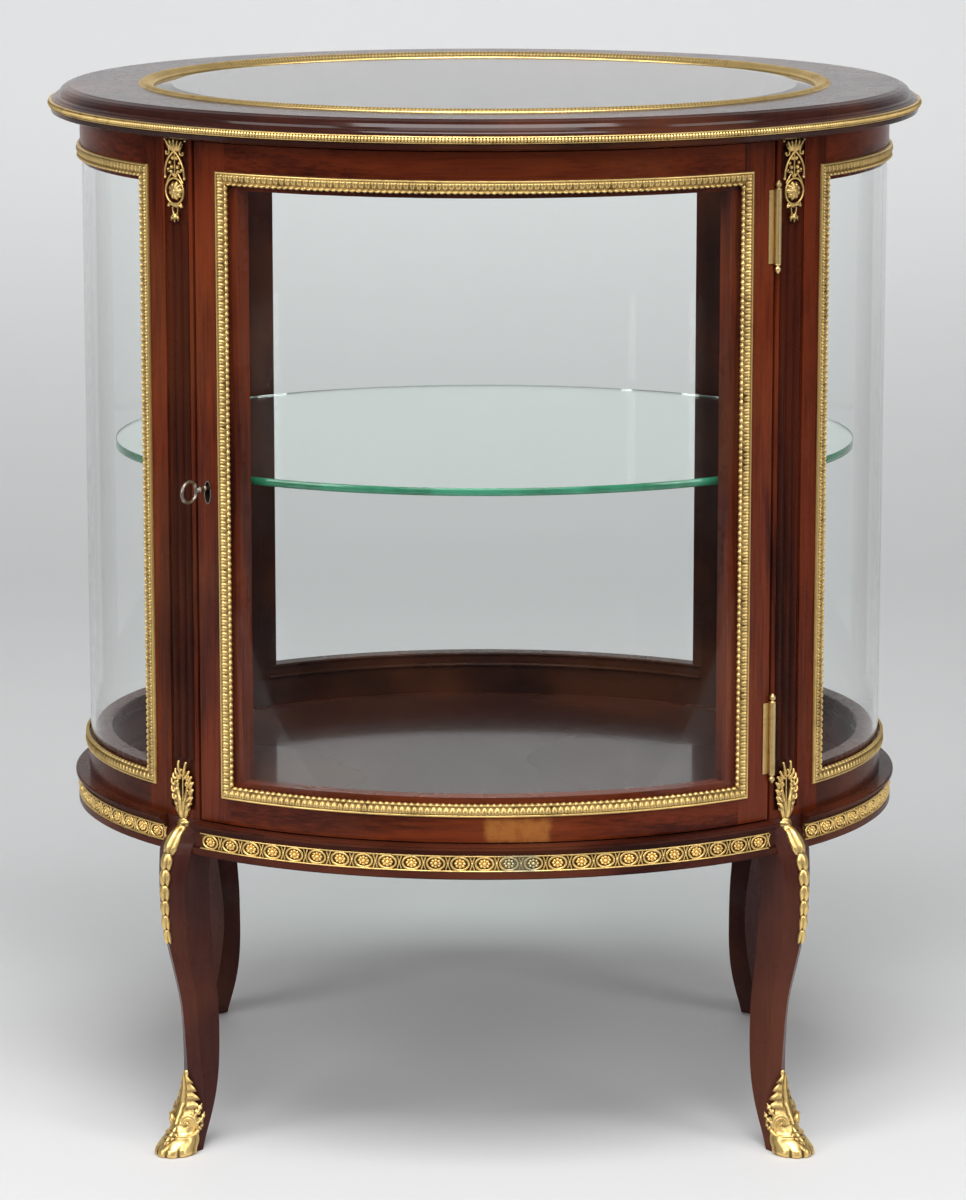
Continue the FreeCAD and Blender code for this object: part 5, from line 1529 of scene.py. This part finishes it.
def backdrop_finish(backdrop):
    """A pale ground and a paler wall, unseen from behind, whose front only the camera sees."""
    material, tree, shader = new_material("Backdrop")
    axes = axes_of(tree, object_place(tree))
    wall = with_alpha([min(1.0, tone * WALL_SHADE) for tone in backdrop])
    ground = with_alpha([tone * GROUND_SHADE for tone in backdrop])
    shade = mix_colour(tree, ramp(tree, axes[2], 0.0, 0.6), ground, wall)
    set_inputs(shader, {"Base Color": shade, "Roughness": 0.6, "Specular IOR Level": 0.2})
    behind = add_node(tree, "NewGeometry").outputs["Backfacing"]
    camera_ray = add_node(tree, "LightPath").outputs["Is Camera Ray"]
    bounced = minus(tree, 1.0, camera_ray)
    apron = math_node(tree, "LESS_THAN", axes[1], FLOOR_END)
    unseen = plus(tree, times(tree, behind, camera_ray), times(tree, apron, bounced), clamp=True)
    clear = add_node(tree, "BsdfTransparent")
    mix_shaders(tree.nodes["Material Output"], unseen, shader.outputs["BSDF"], clear.outputs["BSDF"])
    return material


def make_backdrop(scene, finish):
    profile = [(STAGE_FRONT, 0.0), (FLOOR_END, 0.0), (RISE_START, 0.0)]
    for turn in np.linspace(0, math.pi / 2, 12)[1:]:
        back, up = RISE_RADIUS * math.sin(turn), RISE_RADIUS - RISE_RADIUS * math.cos(turn)
        profile.append((RISE_START + back, up))
    profile.append((RISE_START + RISE_RADIUS, STAGE_REACH))
    grid = np.array([[(side * STAGE_REACH, y, z) for side in (-1, 1)] for y, z in profile])
    mesh = bpy.data.meshes.new("backdrop")
    faces = grid_faces(len(profile), 2, False, False)
    mesh.from_pydata(grid.reshape(-1, 3).tolist(), [], faces.tolist())
    mesh.polygons.foreach_set("use_smooth", [True] * len(mesh.polygons))
    mesh.materials.append(finish)
    backdrop = bpy.data.objects.new("backdrop", mesh)
    scene.collection.objects.link(backdrop)


def make_world(scene, backdrop):
    """A dim sky for the object's light, and the backdrop's colour for the camera."""
    world = bpy.data.worlds.new("Studio")
    world.use_nodes = True
    tree = world.node_tree
    sky = tree.nodes["Background"]
    set_inputs(sky, {"Color": SKY, "Strength": SKY_STRENGTH})
    seen = add_node(tree, "LightPath").outputs["Is Camera Ray"]
    pale = add_node(tree, "Background", {"Color": with_alpha(backdrop), "Strength": SEEN_STRENGTH})
    mix_shaders(tree.nodes["World Output"], seen, sky.outputs[0], pale.outputs[0])
    scene.world = world


def make_lamps(scene):
    for name, (place, target, size, power) in LAMPS.items():
        lamp = bpy.data.lights.new(name, "AREA")
        lamp.shape = "RECTANGLE"
        lamp.size, lamp.size_y = size
        lamp.energy = power
        holder = bpy.data.objects.new("lamp_" + name, lamp)
        holder.location = place
        holder.rotation_euler = (Vector(target) - Vector(place)).to_track_quat("-Z", "Y").to_euler()
        scene.collection.objects.link(holder)


def make_camera(scene):
    lens = bpy.data.cameras.new("camera")
    lens.sensor_width = SENSOR_WIDTH
    lens.lens = LENS_LENGTH
    lens.shift_x, lens.shift_y = SHIFT
    camera = bpy.data.objects.new("camera", lens)
    camera.location = CAMERA_PLACE
    camera.rotation_euler = (math.radians(90.0 - CAMERA_DIP), 0.0, 0.0)
    scene.collection.objects.link(camera)
    scene.camera = camera


class CABINET_OT_stage(bpy.types.Operator):
    """Make the floor, the backdrop, the lamps and the camera"""

    bl_idname = "cabinet.stage"
    bl_label = "Stage"

    def execute(self, context):
        scene = context.scene
        backdrop = scene.cabinet_colours.backdrop
        make_backdrop(scene, backdrop_finish(backdrop))
        make_world(scene, backdrop)
        make_lamps(scene)
        make_camera(scene)
        scene.view_settings.view_transform = "Standard"
        return {"FINISHED"}


# ---------------------------------------------------------------- the add-on


class CABINET_PT_panel(bpy.types.Panel):
    """The cabinet's operators, sizes and colours"""

    bl_idname = "CABINET_PT_panel"
    bl_label = "Oval display cabinet"
    bl_space_type = "VIEW_3D"
    bl_region_type = "UI"
    bl_category = "Cabinet"

    def draw(self, context):
        for operator in OPERATORS:
            self.layout.operator(operator.bl_idname)
        for group in (context.scene.cabinet_sizes, context.scene.cabinet_colours):
            for name in group.__annotations__:
                self.layout.prop(group, name)


OPERATORS = (
    CABINET_OT_finishes,
    CABINET_OT_glass_frames,
    CABINET_OT_top_bands,
    CABINET_OT_friezes,
    CABINET_OT_shelf_edge,
    CABINET_OT_sill_beads,
    CABINET_OT_corner_mounts,
    CABINET_OT_key,
    CABINET_OT_hinge_pins,
    CABINET_OT_stage,
)
CLASSES = (CabinetSizes, CabinetColours, *OPERATORS, CABINET_PT_panel)


def register():
    for cls in CLASSES:
        bpy.utils.register_class(cls)
    bpy.types.Scene.cabinet_sizes = PointerProperty(type=CabinetSizes)
    bpy.types.Scene.cabinet_colours = PointerProperty(type=CabinetColours)


def unregister():
    del bpy.types.Scene.cabinet_colours
    del bpy.types.Scene.cabinet_sizes
    for cls in reversed(CLASSES):
        bpy.utils.unregister_class(cls)


def main():
    """Makes every piece in order."""
    register()
    for operator in OPERATORS:
        group, name = operator.bl_idname.split(".")
        getattr(getattr(bpy.ops, group), name)()


if __name__ == "__main__":
    main()
